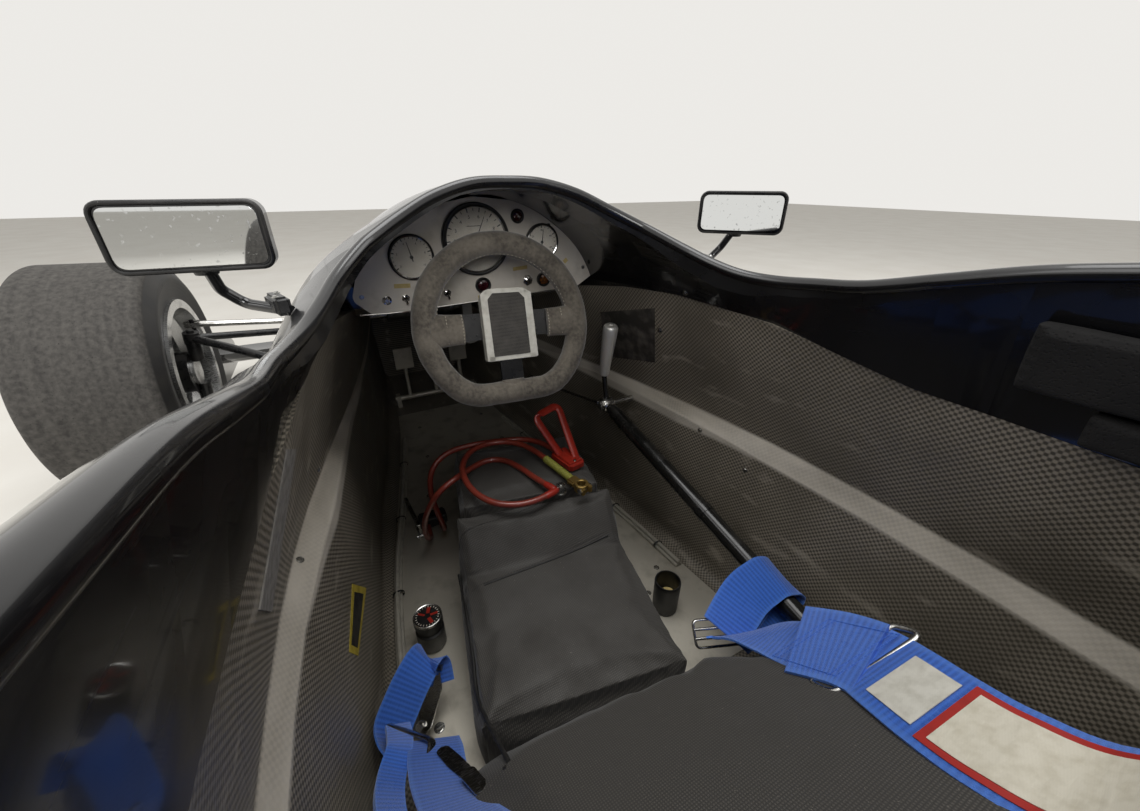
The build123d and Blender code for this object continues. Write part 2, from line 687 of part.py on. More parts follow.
def rim(end):
    """The wheel: flanges, drop well and windowed spider, with its hub, nut and brake disc."""
    half = wheel_size(end)[3] / 2
    seat = half - FLANGE_THICKNESS
    inner = BEAD_RADIUS - RIM_WALL
    barrel = [
        (inner + 3, -half), (FLANGE_RADIUS, -half), (FLANGE_RADIUS, -seat), (BEAD_RADIUS, -seat),
        (BEAD_RADIUS, -seat + 32), (WELL_RADIUS, -seat + 52), (WELL_RADIUS, seat - 62),
        (BEAD_RADIUS, seat - 42), (BEAD_RADIUS, seat), (FLANGE_RADIUS, seat), (FLANGE_RADIUS, half),
        (inner + 3, half), (inner, seat - 40), (WELL_RADIUS - RIM_WALL, seat - 64),
        (WELL_RADIUS - RIM_WALL, -seat + 54), (inner, -seat + 34),
    ]
    body = lathe(make_face(Polyline(*barrel, close=True).edges()), end)
    def turned(points):
        return lathe(make_face(Polyline(*points, close=True).edges()), end)
    s0, s1 = SPIDER_OFFSET, SPIDER_OFFSET + SPIDER_THICKNESS
    spider = turned([(0, s0), (WELL_RADIUS - 2, s0 + 6), (WELL_RADIUS - 2, s1), (0, s1)])
    axis = camber_axis(wheel_size(end)[4])
    for i in range(WINDOW_COUNT):
        turn = 2 * pi * i / WINDOW_COUNT
        frame = Plane(origin=on_axle(end, s0 - 20), x_dir=(1, 0, 0), z_dir=axis)
        spot = frame.from_local_coords(Vector(WINDOW_CIRCLE * cos(turn), WINDOW_CIRCLE * sin(turn), 0))
        spider = spider - Solid.make_cylinder(WINDOW_RADIUS, 60, Plane(origin=spot, z_dir=axis))
    inboard = BEARING_INNER_OFFSET - 8 if end == "front" else BEARING_INNER_OFFSET - 14
    shaft = turned([(0, inboard), (HUB_RADIUS, inboard), (HUB_RADIUS, s0 + 1), (0, s0 + 1)])
    seat = Plane(origin=on_axle(end, s1), x_dir=(1, 0, 0), z_dir=axis)
    nut = extrude(seat * RegularPolygon(HUB_NUT_RADIUS, 6), HUB_NUT_LENGTH)
    nut = nut + Solid.make_cylinder(HUB_COLLAR_RADIUS, HUB_COLLAR_LENGTH, seat)
    d0, d1 = DISC_OFFSET - DISC_THICKNESS / 2, DISC_OFFSET + DISC_THICKNESS / 2
    disc = turned([(HUB_RADIUS - 1, d0), (DISC_RADIUS, d0), (DISC_RADIUS, d1), (HUB_RADIUS - 1, d1)])
    wheel = body + spider + shaft + nut + disc
    if end == "rear":
        hub = wheel_centre("rear")
        wheel = wheel + rod((hub.X, 128 + FIT_GAP, hub.Z), (hub.X, 600, hub.Z), SHAFT_RADIUS)
    return wheel


def bearing(end):
    """The hub bearing's housing with the caliper's bracket and the caliper over the disc."""
    start, stop = BEARING_INNER_OFFSET, BEARING_INNER_OFFSET + BEARING_LENGTH
    def turned(r0, r1, a0, a1):
        points = [(r0, a0), (r1, a0), (r1, a1), (r0, a1)]
        return lathe(make_face(Polyline(*points, close=True).edges()), end)
    housing = turned(HUB_RADIUS + RUN_GAP, BEARING_RADIUS, start, stop)
    d0 = DISC_OFFSET - DISC_THICKNESS / 2 - MOVE_GAP
    d1 = DISC_OFFSET + DISC_THICKNESS / 2 + MOVE_GAP
    cheek, low = CALIPER_CHEEK, CALIPER_LOW_RADIUS
    caliper = turned(low, WELL_RADIUS - RIM_WALL - MOVE_GAP, d0 - cheek, d1 + cheek)
    caliper = caliper - turned(low - cheek, DISC_RADIUS + MOVE_GAP, d0, d1)
    bracket = turned(BEARING_RADIUS - 2, low + cheek, d0 - cheek, d0 - 2)
    centre, half = wheel_centre(end), CALIPER_HEIGHT / 2
    corner = (centre.X - WELL_RADIUS, centre.Y - WELL_RADIUS, centre.Z - half)
    sector = block(corner, (centre.X - CALIPER_SETBACK, centre.Y + WELL_RADIUS, centre.Z + half))
    return housing + ((caliper + bracket) & sector)


def along(low, top, share, reach=0.0):
    """The point at a share of the way between two points, pushed on by a reach."""
    line = Vector(*top) - Vector(*low)
    return Vector(*low) + line * share + line.normalized() * reach


def kingpin_post(end, low, top):
    """The upright's body between its two pivots, with a pin through each."""
    inner = on_axle(end, BEARING_INNER_OFFSET + BEARING_LENGTH / 2)
    half = BOSS_HEIGHT / 2 + FIT_GAP
    post = rod(along(low, top, 0, half), along(low, top, 1, -half), 15)
    arm_low = rod(along(low, top, 0, half + 18), inner, 11)
    arm_top = rod(along(low, top, 1, -half - 18), inner, 11)
    pin = rod(along(low, top, 0, -half - 6), along(low, top, 1, half + 6), PIN_RADIUS)
    return post + arm_low + arm_top + pin


def upright_front():
    """The left steered upright with its steering arm and the arm's pin."""
    low, top = KINGPIN_LOW, KINGPIN_TOP
    body = kingpin_post("front", low, top) + bearing("front")
    root = along(low, top, 1, -STEERING_ARM_DROP)
    foot = Vector(*ARM_PIN) - Vector(0, 0, ARM_PIN_FOOT)
    arm = rod(root, foot, STEERING_ARM_RADIUS) + Pos(foot) * Sphere(STEERING_ARM_RADIUS)
    pin = rod(foot, Vector(*ARM_PIN) + Vector(0, 0, ARM_PIN_REACH), ARM_PIN_RADIUS)
    bore = rod(on_axle("front", -160), on_axle("front", 40), HUB_RADIUS + RUN_GAP)
    return body + arm + pin - bore


def boss(low, top, share):
    """The eye of an arm round the upright's pin."""
    ends = [along(low, top, share, reach) for reach in (-BOSS_HEIGHT / 2, BOSS_HEIGHT / 2)]
    return rod(*ends, BOSS_RADIUS)


def boss_bore(low, top, share):
    """The hole for the upright's pin through an arm's eye."""
    ends = [along(low, top, share, reach) for reach in (-BOSS_HEIGHT, BOSS_HEIGHT)]
    return rod(*ends, PIN_RADIUS + RUN_GAP)


def suspension_front():
    """The wishbones and pushrods of both front wheels."""
    low, top = KINGPIN_LOW, KINGPIN_TOP
    upper = rod(top, UPPER_ARM_FRONT, ARM_RADIUS) + rod(top, UPPER_ARM_REAR, ARM_RADIUS + 1)
    lower = rod(low, LOWER_ARM_FRONT, ARM_RADIUS) + rod(low, LOWER_ARM_REAR, ARM_RADIUS)
    upper = upper + boss(low, top, 1) - boss_bore(low, top, 1)
    lower = lower + boss(low, top, 0) - boss_bore(low, top, 0)
    lower = lower + rod(on_line(low, LOWER_ARM_REAR, 0.16), PUSHROD_INNER, PUSHROD_RADIUS)
    arms = [piece - tub_outside(SEAT_GAP) for piece in (upper, lower)]
    arms = [largest(piece) for piece in arms]
    return Compound(children=[arms[0], arms[1], mirrored(arms[0]), mirrored(arms[1])])


def on_line(start, end, share):
    """The point at a share of the way from start to end."""
    return tuple(a + (b - a) * share for a, b in zip(start, end))


def largest(shape):
    """The biggest solid of a shape."""
    return shape.solids().sort_by(SortBy.VOLUME)[-1]


def suspension_rear():
    """The wishbones, toe links and pushrods of both rear wheels."""
    top = rod(*REAR_ARMS[0], ARM_RADIUS) + rod(*REAR_ARMS[1], ARM_RADIUS) + boss(REAR_LOW, REAR_TOP, 1)
    low = rod(*REAR_ARMS[2], ARM_RADIUS) + rod(*REAR_ARMS[3], ARM_RADIUS) + boss(REAR_LOW, REAR_TOP, 0)
    top = top - boss_bore(REAR_LOW, REAR_TOP, 1)
    low = low - boss_bore(REAR_LOW, REAR_TOP, 0)
    low = low + rod(on_line(*REAR_ARMS[2], 0.14), REAR_ARMS[5][1], PUSHROD_RADIUS)
    toe = rod(*REAR_ARMS[4], PUSHROD_RADIUS)
    pieces = [largest(piece - gearbox_form(SEAT_GAP)) for piece in (top, low, toe)]
    return Compound(children=pieces + [mirrored(piece) for piece in pieces])


def uprights_rear():
    """The rear uprights with their toe links' lugs."""
    bore = rod(on_axle("rear", -180), on_axle("rear", 40), HUB_RADIUS + RUN_GAP)
    lug_end = Vector(*REAR_ARMS[4][0]) + Vector(0, PUSHROD_RADIUS + FIT_GAP, 0)
    lug = rod(on_axle("rear", BEARING_INNER_OFFSET + 20), lug_end, 10)
    post = kingpin_post("rear", REAR_LOW, REAR_TOP) + bearing("rear") + lug - bore
    clear = rod(REAR_ARMS[4][0], on_line(*REAR_ARMS[4], 0.2), PUSHROD_RADIUS + FIT_GAP)
    post = largest(post - clear)
    return both(post)


def steering_direction():
    """The way the column points, from the steering wheel to the rack's side."""
    return Vector(cos(radians(WHEEL_RAKE)), 0, -sin(radians(WHEEL_RAKE)))


def steering_wheel():
    """The rim with a flattened foot, two side spokes, a lower spoke and the centre pad."""
    radius = WHEEL_WIDTH / 2 - WHEEL_GRIP_RADIUS
    foot = WHEEL_HEIGHT - WHEEL_WIDTH / 2 - WHEEL_GRIP_RADIUS
    half = (radius**2 - foot**2) ** 0.5
    arc = ThreePointArc((half, -foot), (0, radius), (-half, -foot))
    base = Line((-half, -foot), (half, -foot))
    outline = Wire([arc.edge(), base.edge()])
    path = outline.fillet_2d(WHEEL_FOOT_RADIUS, outline.vertices())
    section = Plane(origin=path @ 0, z_dir=path % 0) * Circle(WHEEL_GRIP_RADIUS)
    grip = sweep(section, path, transition=Transition.ROUND)
    width, height, depth = WHEEL_PAD
    across = extrude(Rectangle(2 * radius, SPOKE_HEIGHT), SPOKE_THICKNESS)
    down = Pos(0, -foot / 2, 0) * extrude(Rectangle(LOWER_SPOKE_WIDTH, foot), SPOKE_THICKNESS)
    pad = extrude(chamfer(Rectangle(width, height).vertices(), WHEEL_PAD_CORNER), depth)
    seat = Plane(origin=WHEEL_CENTRE, x_dir=(0, -1, 0), z_dir=-steering_direction())
    return seat.location * (Rot(0, 0, -WHEEL_TURN) * (grip + across + down + pad))


def steering_column():
    """The upper column from the wheel to its joint, in the bearing behind the dash."""
    way = steering_direction()
    start = Vector(*WHEEL_CENTRE) + way * FIT_GAP
    length = (JOINT_X - 24 - start.X) / way.X
    return rod(start, start + way * length, COLUMN_RADIUS)


def joint_point():
    """The centre of the column's lower joint."""
    way = steering_direction()
    start = Vector(*WHEEL_CENTRE)
    return start + way * ((JOINT_X - start.X) / way.X)


def before_rack(distance):
    """The point on the lower shaft's line at a distance from the rack bar."""
    rack = Vector(RACK_X, 0, RACK_Z)
    return rack - (rack - joint_point()).normalized() * distance


def lower_shaft():
    """The lower steering shaft from the joint to the rack's pinion."""
    start = joint_point()
    knuckle = Pos(start) * Sphere(17)
    return rod(start, before_rack(SHAFT_END), COLUMN_RADIUS) + knuckle


def steering_rack():
    """The rack's housing and the bracket of the column's bearing."""
    way = steering_direction()
    half = RACK_HOUSING_HALF_LENGTH
    tube = rod((RACK_X, -half, RACK_Z), (RACK_X, half, RACK_Z), RACK_HOUSING_RADIUS)
    bore = rod((RACK_X, -200, RACK_Z), (RACK_X, 200, RACK_Z), RACK_RADIUS + RUN_GAP)
    snout = rod(before_rack(12), before_rack(SHAFT_END + 28), 18)
    snout_bore = rod(before_rack(SHAFT_END - 1), before_rack(SHAFT_END + 30), COLUMN_RADIUS + RUN_GAP)
    stand = block((RACK_X - 12, -half, RACK_Z), (RACK_X + 12, half, RACK_Z + 90))
    stand = stand - block((RACK_X - 20, 70 - half, 0), (RACK_X + 20, half - 70, RACK_Z + 100))
    housing = tube + snout + (stand & tub_inside(SEAT_GAP)) - bore - snout_bore
    hang = Vector(*WHEEL_CENTRE) + way * ((BEARING_X - WHEEL_CENTRE[0]) / way.X)
    collar = rod(hang - way * 14, hang + way * 14, 20)
    post = block((hang.X - 9, -9, hang.Z), (hang.X + 9, 9, hang.Z + 140)) & tub_inside(SEAT_GAP)
    bracket = collar + post - rod(hang - way * 60, hang + way * 60, COLUMN_RADIUS + RUN_GAP)
    return Compound(children=[housing, bracket])


def rack_bar():
    """The sliding rack bar with both track rods and their open outer eyes."""
    half = RACK_HALF_LENGTH
    bar = rod((RACK_X, -half, RACK_Z), (RACK_X, half, RACK_Z), RACK_RADIUS)
    inner_eye = ARM_PIN_RADIUS + EYE_DRIFT
    centre, rise = Vector(*ARM_PIN), Vector(0, 0, EYE_HALF_HEIGHT)
    tie = rod((RACK_X, half - 1, RACK_Z), centre, TRACK_ROD_RADIUS)
    eye = rod(centre - rise, centre + rise, inner_eye + EYE_WALL)
    hole = rod(centre - rise * 3, centre + rise * 3, inner_eye)
    left = tie + eye - hole
    return bar + left + mirrored(left)


def panel_outline(outline):
    """A face across the car from y, z and corner radius columns."""
    points = [(DASH_X, y, z) for y, z, _ in outline]
    radii = [radius for _, _, radius in outline]
    return make_face(FilletPolyline(*points, radius=radii, close=True).edges())


def dash_panel():
    """The instrument panel under the scuttle, cut for its dials and switches."""
    panel = extrude(panel_outline(DASH_OUTLINE), DASH_THICKNESS, dir=(1, 0, 0))
    for y, z, radius, depth, height in DIALS:
        hole = radius * DIAL_BODY_SHARE + FIT_GAP
        panel = panel - rod((DASH_X - 5, y, z), (DASH_X + 10, y, z), hole)
    return largest(panel & cockpit_space(FIT_GAP))


def gauges():
    """The dials, lamps and switches: a bezel in front of the panel and a body through it."""
    pieces = []
    for y, z, radius, depth, height in DIALS:
        face = DASH_X - FIT_GAP
        bezel = rod((face - height, y, z), (face, y, z), radius)
        can = rod((face, y, z), (DASH_X + depth, y, z), radius * DIAL_BODY_SHARE)
        pieces.append(bezel + can)
    return Compound(children=pieces)


def gear_shift():
    """The gear lever with its grip, pivot bolt and the linkage tube to the rear."""
    lean = rod(SHIFT_PIVOT, SHIFT_GRIP_LOW, SHIFT_ROD_RADIUS)
    line = Vector(*SHIFT_GRIP_TOP) - Vector(*SHIFT_GRIP_LOW)
    low, high = SHIFT_GRIP_RADII
    grip = Solid.make_cone(low, high, line.length, Plane(origin=SHIFT_GRIP_LOW, z_dir=line))
    grip = fillet(grip.edges().filter_by(GeomType.CIRCLE), SHIFT_CROWN)
    bolt = rod((SHIFT_PIVOT[0], -300, SHIFT_PIVOT[2]), (SHIFT_PIVOT[0], -186, SHIFT_PIVOT[2]), 7)
    tube = rod(SHIFT_PIVOT, LINKAGE_REAR, LINKAGE_RADIUS)
    return lean + grip + tube + (bolt & tub_inside(SEAT_GAP))


def side_profile(points, centre_y, width, radius=0):
    """A pad from its side outline in x and z."""
    outline = FilletPolyline(*points, radius=radius, close=True) if radius else Polyline(*points, close=True)
    face = Plane.XZ * make_face(outline.edges())
    return Pos(0, centre_y + width / 2, 0) * extrude(face, width)


def seat_pads():
    """The folded thigh pad, the reclined back pad and the foam pads on the cockpit's walls."""
    rise = FLOOR_SHEET + FIT_GAP
    thigh = side_profile([(x, z + rise) for x, z in THIGH_OUTLINE], 0, THIGH_WIDTH)
    knee = side_profile([(x, z + rise) for x, z in KNEE_OUTLINE], 0, THIGH_WIDTH - KNEE_NARROWING)
    middle = 240
    turn = Pos(middle, THIGH_CENTRE_Y, 0) * Rot(0, 0, THIGH_TURN) * Pos(-middle, 0, 0)
    thigh, knee = turn * thigh, turn * knee
    corners = [BACK_CORNER] * (len(BACK_PLAN) - 2) + [0, 0]
    plan = extrude(make_face(FilletPolyline(*BACK_PLAN, radius=corners, close=True).edges()), PAD_TOP_Z)
    back = side_profile(BACK_OUTLINE, 0, 2 * THIGH_WIDTH) & plan
    thigh = thigh - Pos(FIT_GAP, 0, 0) * plan - block((-400, -400, 0), (0, 400, PAD_TOP_Z))
    space = cockpit_space(0.4)
    pads = []
    for rear, front, low, high in SIDE_PADS:
        slab = block((rear, -320, low), (front, -100, high)) & space
        core = cockpit_space(0.4 + SIDE_PAD_THICKNESS)
        pads.append(largest(slab - core - block((-400, -240, 0), (400, 400, 900))))
    return Compound(children=[largest(thigh), largest(knee), largest(back)] + pads)


def cockpit_floor():
    """The aluminium sheet on the tub's floor."""
    rows = [(row[0], row[1] - FLOOR_SHEET_INSET) for row in tub_rows()]
    def half(x):
        (x0, y0), (x1, y1) = next(pair for pair in zip(rows, rows[1:]) if pair[0][0] <= x <= pair[1][0])
        return y0 + (y1 - y0) * (x - x0) / (x1 - x0)
    between = [x for x, _ in rows if FLOOR_SHEET_REAR_X < x < FLOOR_SHEET_FRONT_X]
    stations = [FLOOR_SHEET_REAR_X, *between, FLOOR_SHEET_FRONT_X]
    outline = [(x, half(x)) for x in stations] + [(x, -half(x)) for x in reversed(stations)]
    return Pos(0, 0, TUB_FLOOR_Z) * extrude(make_face(Polyline(*outline, close=True).edges()), FLOOR_SHEET)


def mirror(turn):
    """A left mirror on its bent stalk, its glass turned from the rear towards the driver."""
    shell = Box(*MIRROR_SIZE)
    shell = fillet(shell.edges().filter_by(Axis.X), MIRROR_CORNER)
    shell = fillet(shell.faces().sort_by(Axis.X)[-1].edges(), MIRROR_SIZE[0] * 0.4)
    shell = Pos(MIRROR_CENTRE) * (Rot(0, 0, turn) * shell)
    points = [Vector(*point) for point in MIRROR_STALK]
    path = FilletPolyline(*points, radius=MIRROR_STALK_BEND)
    stalk = sweep(Plane(origin=points[0], z_dir=path % 0) * Circle(MIRROR_STALK_RADIUS), path)
    return largest(shell + stalk - body_outside(SEAT_GAP))


def mirror_pair():
    """Both mirrors, each turned as the photo shows it."""
    left, right = MIRROR_TURNS
    return Compound(children=[mirror(left), mirrored(mirror(right))])


def pedals():
    """Three pedals on their cross shaft."""
    pieces = rod((1190, -128, 112), (1190, 128, 112), 8)
    for y in (-82, 0, 82):
        lever = rod((1190, y, 112), (1205, y, 232), 6)
        pad = Pos(1200, y, 236) * Box(8, 52, 64)
        pieces = pieces + lever + pad
    for y in (-118, 118):
        pieces = pieces + block((1178, y - 6, TUB_FLOOR_Z + SEAT_GAP), (1202, y + 6, 124))
    return pieces


def harness():
    """The belts' webbing as plain closed forms where they lie."""
    straps = [block(low, high) for low, high in LAP_BELTS]
    top = [(x, z + FIT_GAP) for x, z in BACK_OUTLINE if SHOULDER_BELT_REACH[0] <= x <= SHOULDER_BELT_REACH[1]]
    belt = [(x, z) for x, z in top] + [(x, z + BELT_THICKNESS) for x, z in reversed(top)]
    straps += [side_profile(belt, y, BELT_WIDTH) for y in SHOULDER_BELT_Y]
    return Compound(children=straps)


def harness_fittings():
    """The steel plates that hold the belts to the floor."""
    sheet = TUB_FLOOR_Z + FLOOR_SHEET
    pieces = [block((150, y, sheet), (190, y + 24, sheet + 20)) for y in (226, -250)]
    return Compound(children=pieces)


def floor_fittings():
    """The round dial head and the black cup that stand on the floor sheet."""
    sheet = TUB_FLOOR_Z + FLOOR_SHEET
    head = rod((341, 196, sheet), (341, 196, 150), 21)
    cup = rod((228, -157, sheet), (228, -157, 150), 21) - rod((228, -157, sheet + 6), (228, -157, 160), 18)
    return Compound(children=[head, cup])


def cord(points):
    """A lead's tube along straight runs with the largest arcs that they allow."""
    radii = []
    for a, b, c in zip(points, points[1:], points[2:]):
        before, after = Vector(*b) - Vector(*a), Vector(*c) - Vector(*b)
        half_turn = radians(before.get_angle(after)) / 2
        radii.append(CORNER_SHARE * min(before.length, after.length) / tan(half_turn))
    print("lead radii", [round(radius) for radius in radii])
    path = FilletPolyline(*points, radius=radii)
    tube = sweep(Plane(origin=points[0], z_dir=path % 0) * Circle(LEAD_RADIUS), path)
    share = tube.volume / path.length / pi / LEAD_RADIUS**2
    print("lead length", round(path.length), "volume share", round(share, 4))
    return tube


def stub(start, following, length, radius):
    """A collar behind a lead's first point, in line with its first run."""
    line = (Vector(*following) - Vector(*start)).normalized()
    return rod(Vector(*start) - line * length, start, radius)


def lead_fittings():
    """The battery clamp, the bolted ring lugs, the plug with its handle and the floor block."""
    sleeve = stub(LEAD_LOOP[0], LEAD_LOOP[1], 72, 6.5)
    clamp = Pos(358, -64, 284) * (Rot(0, 0, 12) * Box(44, 24, 14))
    lugs = rod((366, -36, 272.6), (366, -36, 290), 10)
    grip_low = stub(LEAD_LOOP[-1], LEAD_LOOP[-2], 14, 6)
    grip_top = stub(LEAD_FEED[0], LEAD_FEED[1], 14, 6)
    turn = degrees(atan2(LEAD_PLUG[1][1] - LEAD_PLUG[0][1], LEAD_PLUG[1][0] - LEAD_PLUG[0][0]))
    plug = Pos(LEAD_PLUG[0]) * (Rot(0, 0, turn) * (Pos(-28, 0, 1) * Box(56, 34, 15)))
    path = FilletPolyline((446, -76, 284), (486, -46, 348), (498, -96, 356), (426, -96, 284), radius=12)
    handle = sweep(Plane(origin=(446, -76, 284), z_dir=path % 0) * Circle(5), path)
    (x0, y0), (x1, y1), height = LEAD_BLOCK
    sheet = TUB_FLOOR_Z + FLOOR_SHEET
    base = block((x0, y0, sheet), (x1, y1, sheet + height))
    return Compound(children=[sleeve + clamp, lugs + grip_low + grip_top, plug + handle, base])


def wiring():
    """The grey looms clipped along both edges of the floor."""
    looms = []
    for route in (LEFT_LOOM, RIGHT_LOOM):
        path = FilletPolyline(*route, radius=200)
        looms.append(sweep(Plane(origin=route[0], z_dir=path % 0) * Circle(WIRING_RADIUS), path))
    return Compound(children=looms)


def build():
    """Every piece of the car by its node's name."""
    car = {
        "tub": tub(),
        "upper_body": upper_body(),
        "nose_cone": nose_cone(),
        "front_wing": front_wing(),
        "undertray": undertray(),
        "sidepod_l": sidepod(),
        "sidepod_r": mirrored(sidepod()),
        "engine_cover": engine_cover(),
        "roll_hoop": roll_hoop(),
        "engine": engine(),
        "gearbox": gearbox(),
        "exhaust": exhaust(),
        "rear_wing": rear_wing(),
        "dash_panel": dash_panel(),
        "gauges": gauges(),
        "gear_shift": gear_shift(),
        "seat_pads": seat_pads(),
        "harness": harness(),
        "harness_fittings": harness_fittings(),
        "cockpit_floor": cockpit_floor(),
        "mirrors": mirror_pair(),
        "floor_fittings": floor_fittings(),
        "wiring": wiring(),
        "lead_fittings": lead_fittings(),
        "lead_loop": cord(LEAD_LOOP),
        "lead_feed": cord(LEAD_FEED),
        "lead_plug": cord(LEAD_PLUG),
        "suspension_front": suspension_front(),
        "suspension_rear": suspension_rear(),
        "uprights_rear": uprights_rear(),
        "pedals": pedals(),
        "steering_rack": steering_rack(),
        "rack_bar": rack_bar(),
        "steering_wheel": steering_wheel(),
        "steering_column": steering_column(),
        "lower_shaft": lower_shaft(),
        "upright_fl": upright_front(),
        "upright_fr": mirrored(upright_front()),
    }
    for end, tag in (("front", "f"), ("rear", "r")):
        car[f"tyre_{tag}l"] = tyre(end)
        car[f"tyre_{tag}r"] = mirrored(tyre(end))
        car[f"rim_{tag}l"] = rim(end)
        car[f"rim_{tag}r"] = mirrored(rim(end))
    return car


for node, shape in build().items():
    export_step(shape, f"parts/{node}.step")
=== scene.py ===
"""Open wheel racing car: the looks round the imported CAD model.

Millimetres in the tables, metres in Blender. +X forward, +Y to the driver's left, +Z up, the origin on
the ground.
"""

from math import atan2, cos, pi, radians, sin, sqrt

import bmesh
import bpy
from mathutils import Matrix, Vector
from mathutils.bvhtree import BVHTree


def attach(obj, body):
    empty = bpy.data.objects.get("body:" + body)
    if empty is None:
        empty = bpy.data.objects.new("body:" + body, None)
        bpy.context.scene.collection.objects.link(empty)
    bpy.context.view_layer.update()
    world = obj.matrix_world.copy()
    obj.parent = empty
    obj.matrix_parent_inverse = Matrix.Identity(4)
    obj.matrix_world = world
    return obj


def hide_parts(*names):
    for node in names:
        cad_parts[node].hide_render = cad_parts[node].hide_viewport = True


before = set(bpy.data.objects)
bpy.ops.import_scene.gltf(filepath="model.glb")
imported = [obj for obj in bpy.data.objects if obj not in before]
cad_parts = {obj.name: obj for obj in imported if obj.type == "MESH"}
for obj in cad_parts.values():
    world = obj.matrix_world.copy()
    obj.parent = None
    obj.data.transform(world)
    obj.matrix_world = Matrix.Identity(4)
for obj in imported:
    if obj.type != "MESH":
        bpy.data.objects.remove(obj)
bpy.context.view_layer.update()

MM = 0.001
AHEAD, LEFT, UP, DOWN = Vector((1, 0, 0)), Vector((0, 1, 0)), Vector((0, 0, 1)), Vector((0, 0, -1))
# The photograph's width and height in pixels, the lens in mm, and the top of the floor sheet in mm
IMAGE = (1140, 811)
LENS, PICTURE_WIDE = 13.8, 36.0
FLOOR_TOP = 88.2


def mm(*point):
    """A point given in millimetres, in metres."""
    return Vector(point) * MM


# Camera, floor and light


def linked(name, data):
    """A new object with its data, in the scene."""
    made = bpy.data.objects.new(name, data)
    bpy.context.scene.collection.objects.link(made)
    return made


def camera():
    """The photograph's view: a wide lens over the seat, turned to the right and down."""
    data = bpy.data.cameras.new("camera")
    data.lens, data.sensor_width, data.clip_start = LENS, PICTURE_WIDE, 0.01
    view = linked("camera", data)
    heading, pitch = radians(-27.5), radians(27.3)
    toward = Vector((cos(pitch) * cos(heading), cos(pitch) * sin(heading), -sin(pitch)))
    turn = toward.to_track_quat("-Z", "Y").to_matrix().to_4x4()
    view.matrix_world = Matrix.Translation(mm(-135, 208, 716)) @ turn
    bpy.context.scene.camera = view


def linear(code):
    """An sRGB hex colour as linear red, green, blue and alpha."""
    parts = [int(code[i : i + 2], 16) / 255 for i in (1, 3, 5)]
    return [v / 12.92 if v <= 0.04045 else ((v + 0.055) / 1.055) ** 2.4 for v in parts] + [1.0]


def add(tree, kind, inputs=None, **settings):
    """A node with its settings; an input is a value, a hex colour or another node's output."""
    made = tree.nodes.new(kind if "Node" in kind else "ShaderNode" + kind)
    for key, value in settings.items():
        setattr(made, key, value)
    for key, value in (inputs or {}).items():
        if isinstance(value, bpy.types.NodeSocket):
            tree.links.new(value, made.inputs[key])
        elif isinstance(value, str) and value.startswith("#"):
            made.inputs[key].default_value = linear(value)
        else:
            made.inputs[key].default_value = value
    return made


def calc(tree, operation, first, second=0.0):
    """Arithmetic on one or two numbers."""
    return add(tree, "Math", {0: first, 1: second}, operation=operation).outputs[0]


def ramp(tree, value, low, high):
    """How far a number has come from low to high, as 0 to 1."""
    return add(tree, "MapRange", {"Value": value, "From Min": low, "From Max": high}).outputs[0]


def axes(tree, vector):
    """A vector's three numbers."""
    return add(tree, "SeparateXYZ", {"Vector": vector}).outputs


def finish(name, base, rough, **sockets):
    """A new material: its tree, its shader and its Object coordinates."""
    made = bpy.data.materials.new(name)
    made.use_nodes = True
    tree = made.node_tree
    shader = tree.nodes["Principled BSDF"]
    shader.inputs["Base Color"].default_value = linear(base)
    shader.inputs["Roughness"].default_value = rough
    for key, value in sockets.items():
        shader.inputs[key.replace("_", " ")].default_value = value
    place = add(tree, "TexCoord").outputs["Object"]
    return made, tree, shader, place


def blotches(tree, place, size_mm, low, high, detail=4.0, stretch=None):
    """A 0 to 1 mask of cloudy patches of about that size, stretched along an axis if asked."""
    if stretch:
        place = add(tree, "Mapping", {"Vector": place, "Scale": stretch}).outputs[0]
    noise = add(tree, "TexNoise", {"Vector": place, "Scale": 1 / (size_mm * MM), "Detail": detail})
    return ramp(tree, noise.outputs["Fac"], low, high)


def tint(tree, share, first, second):
    """A colour between two by a share; each is a hex code or another colour."""
    return add(tree, "Mix", {0: share, 6: first, 7: second}, data_type="RGBA").outputs[2]


def span(tree, share, low, high):
    """A share of 0 to 1 spread between two numbers."""
    return add(tree, "MapRange", {"Value": share, "To Min": low, "To Max": high}).outputs[0]


def relief(tree, shader, height, depth_mm, strength=1.0):
    """Bump of a real depth on a shader."""
    bump = add(tree, "Bump", {"Height": height, "Distance": depth_mm * MM, "Strength": strength})
    tree.links.new(bump.outputs[0], shader.inputs["Normal"])


def put(tree, shader, **links):
    """Links outputs to a shader's sockets by their names."""
    for key, value in links.items():
        tree.links.new(value, shader.inputs[key.replace("_", " ")])


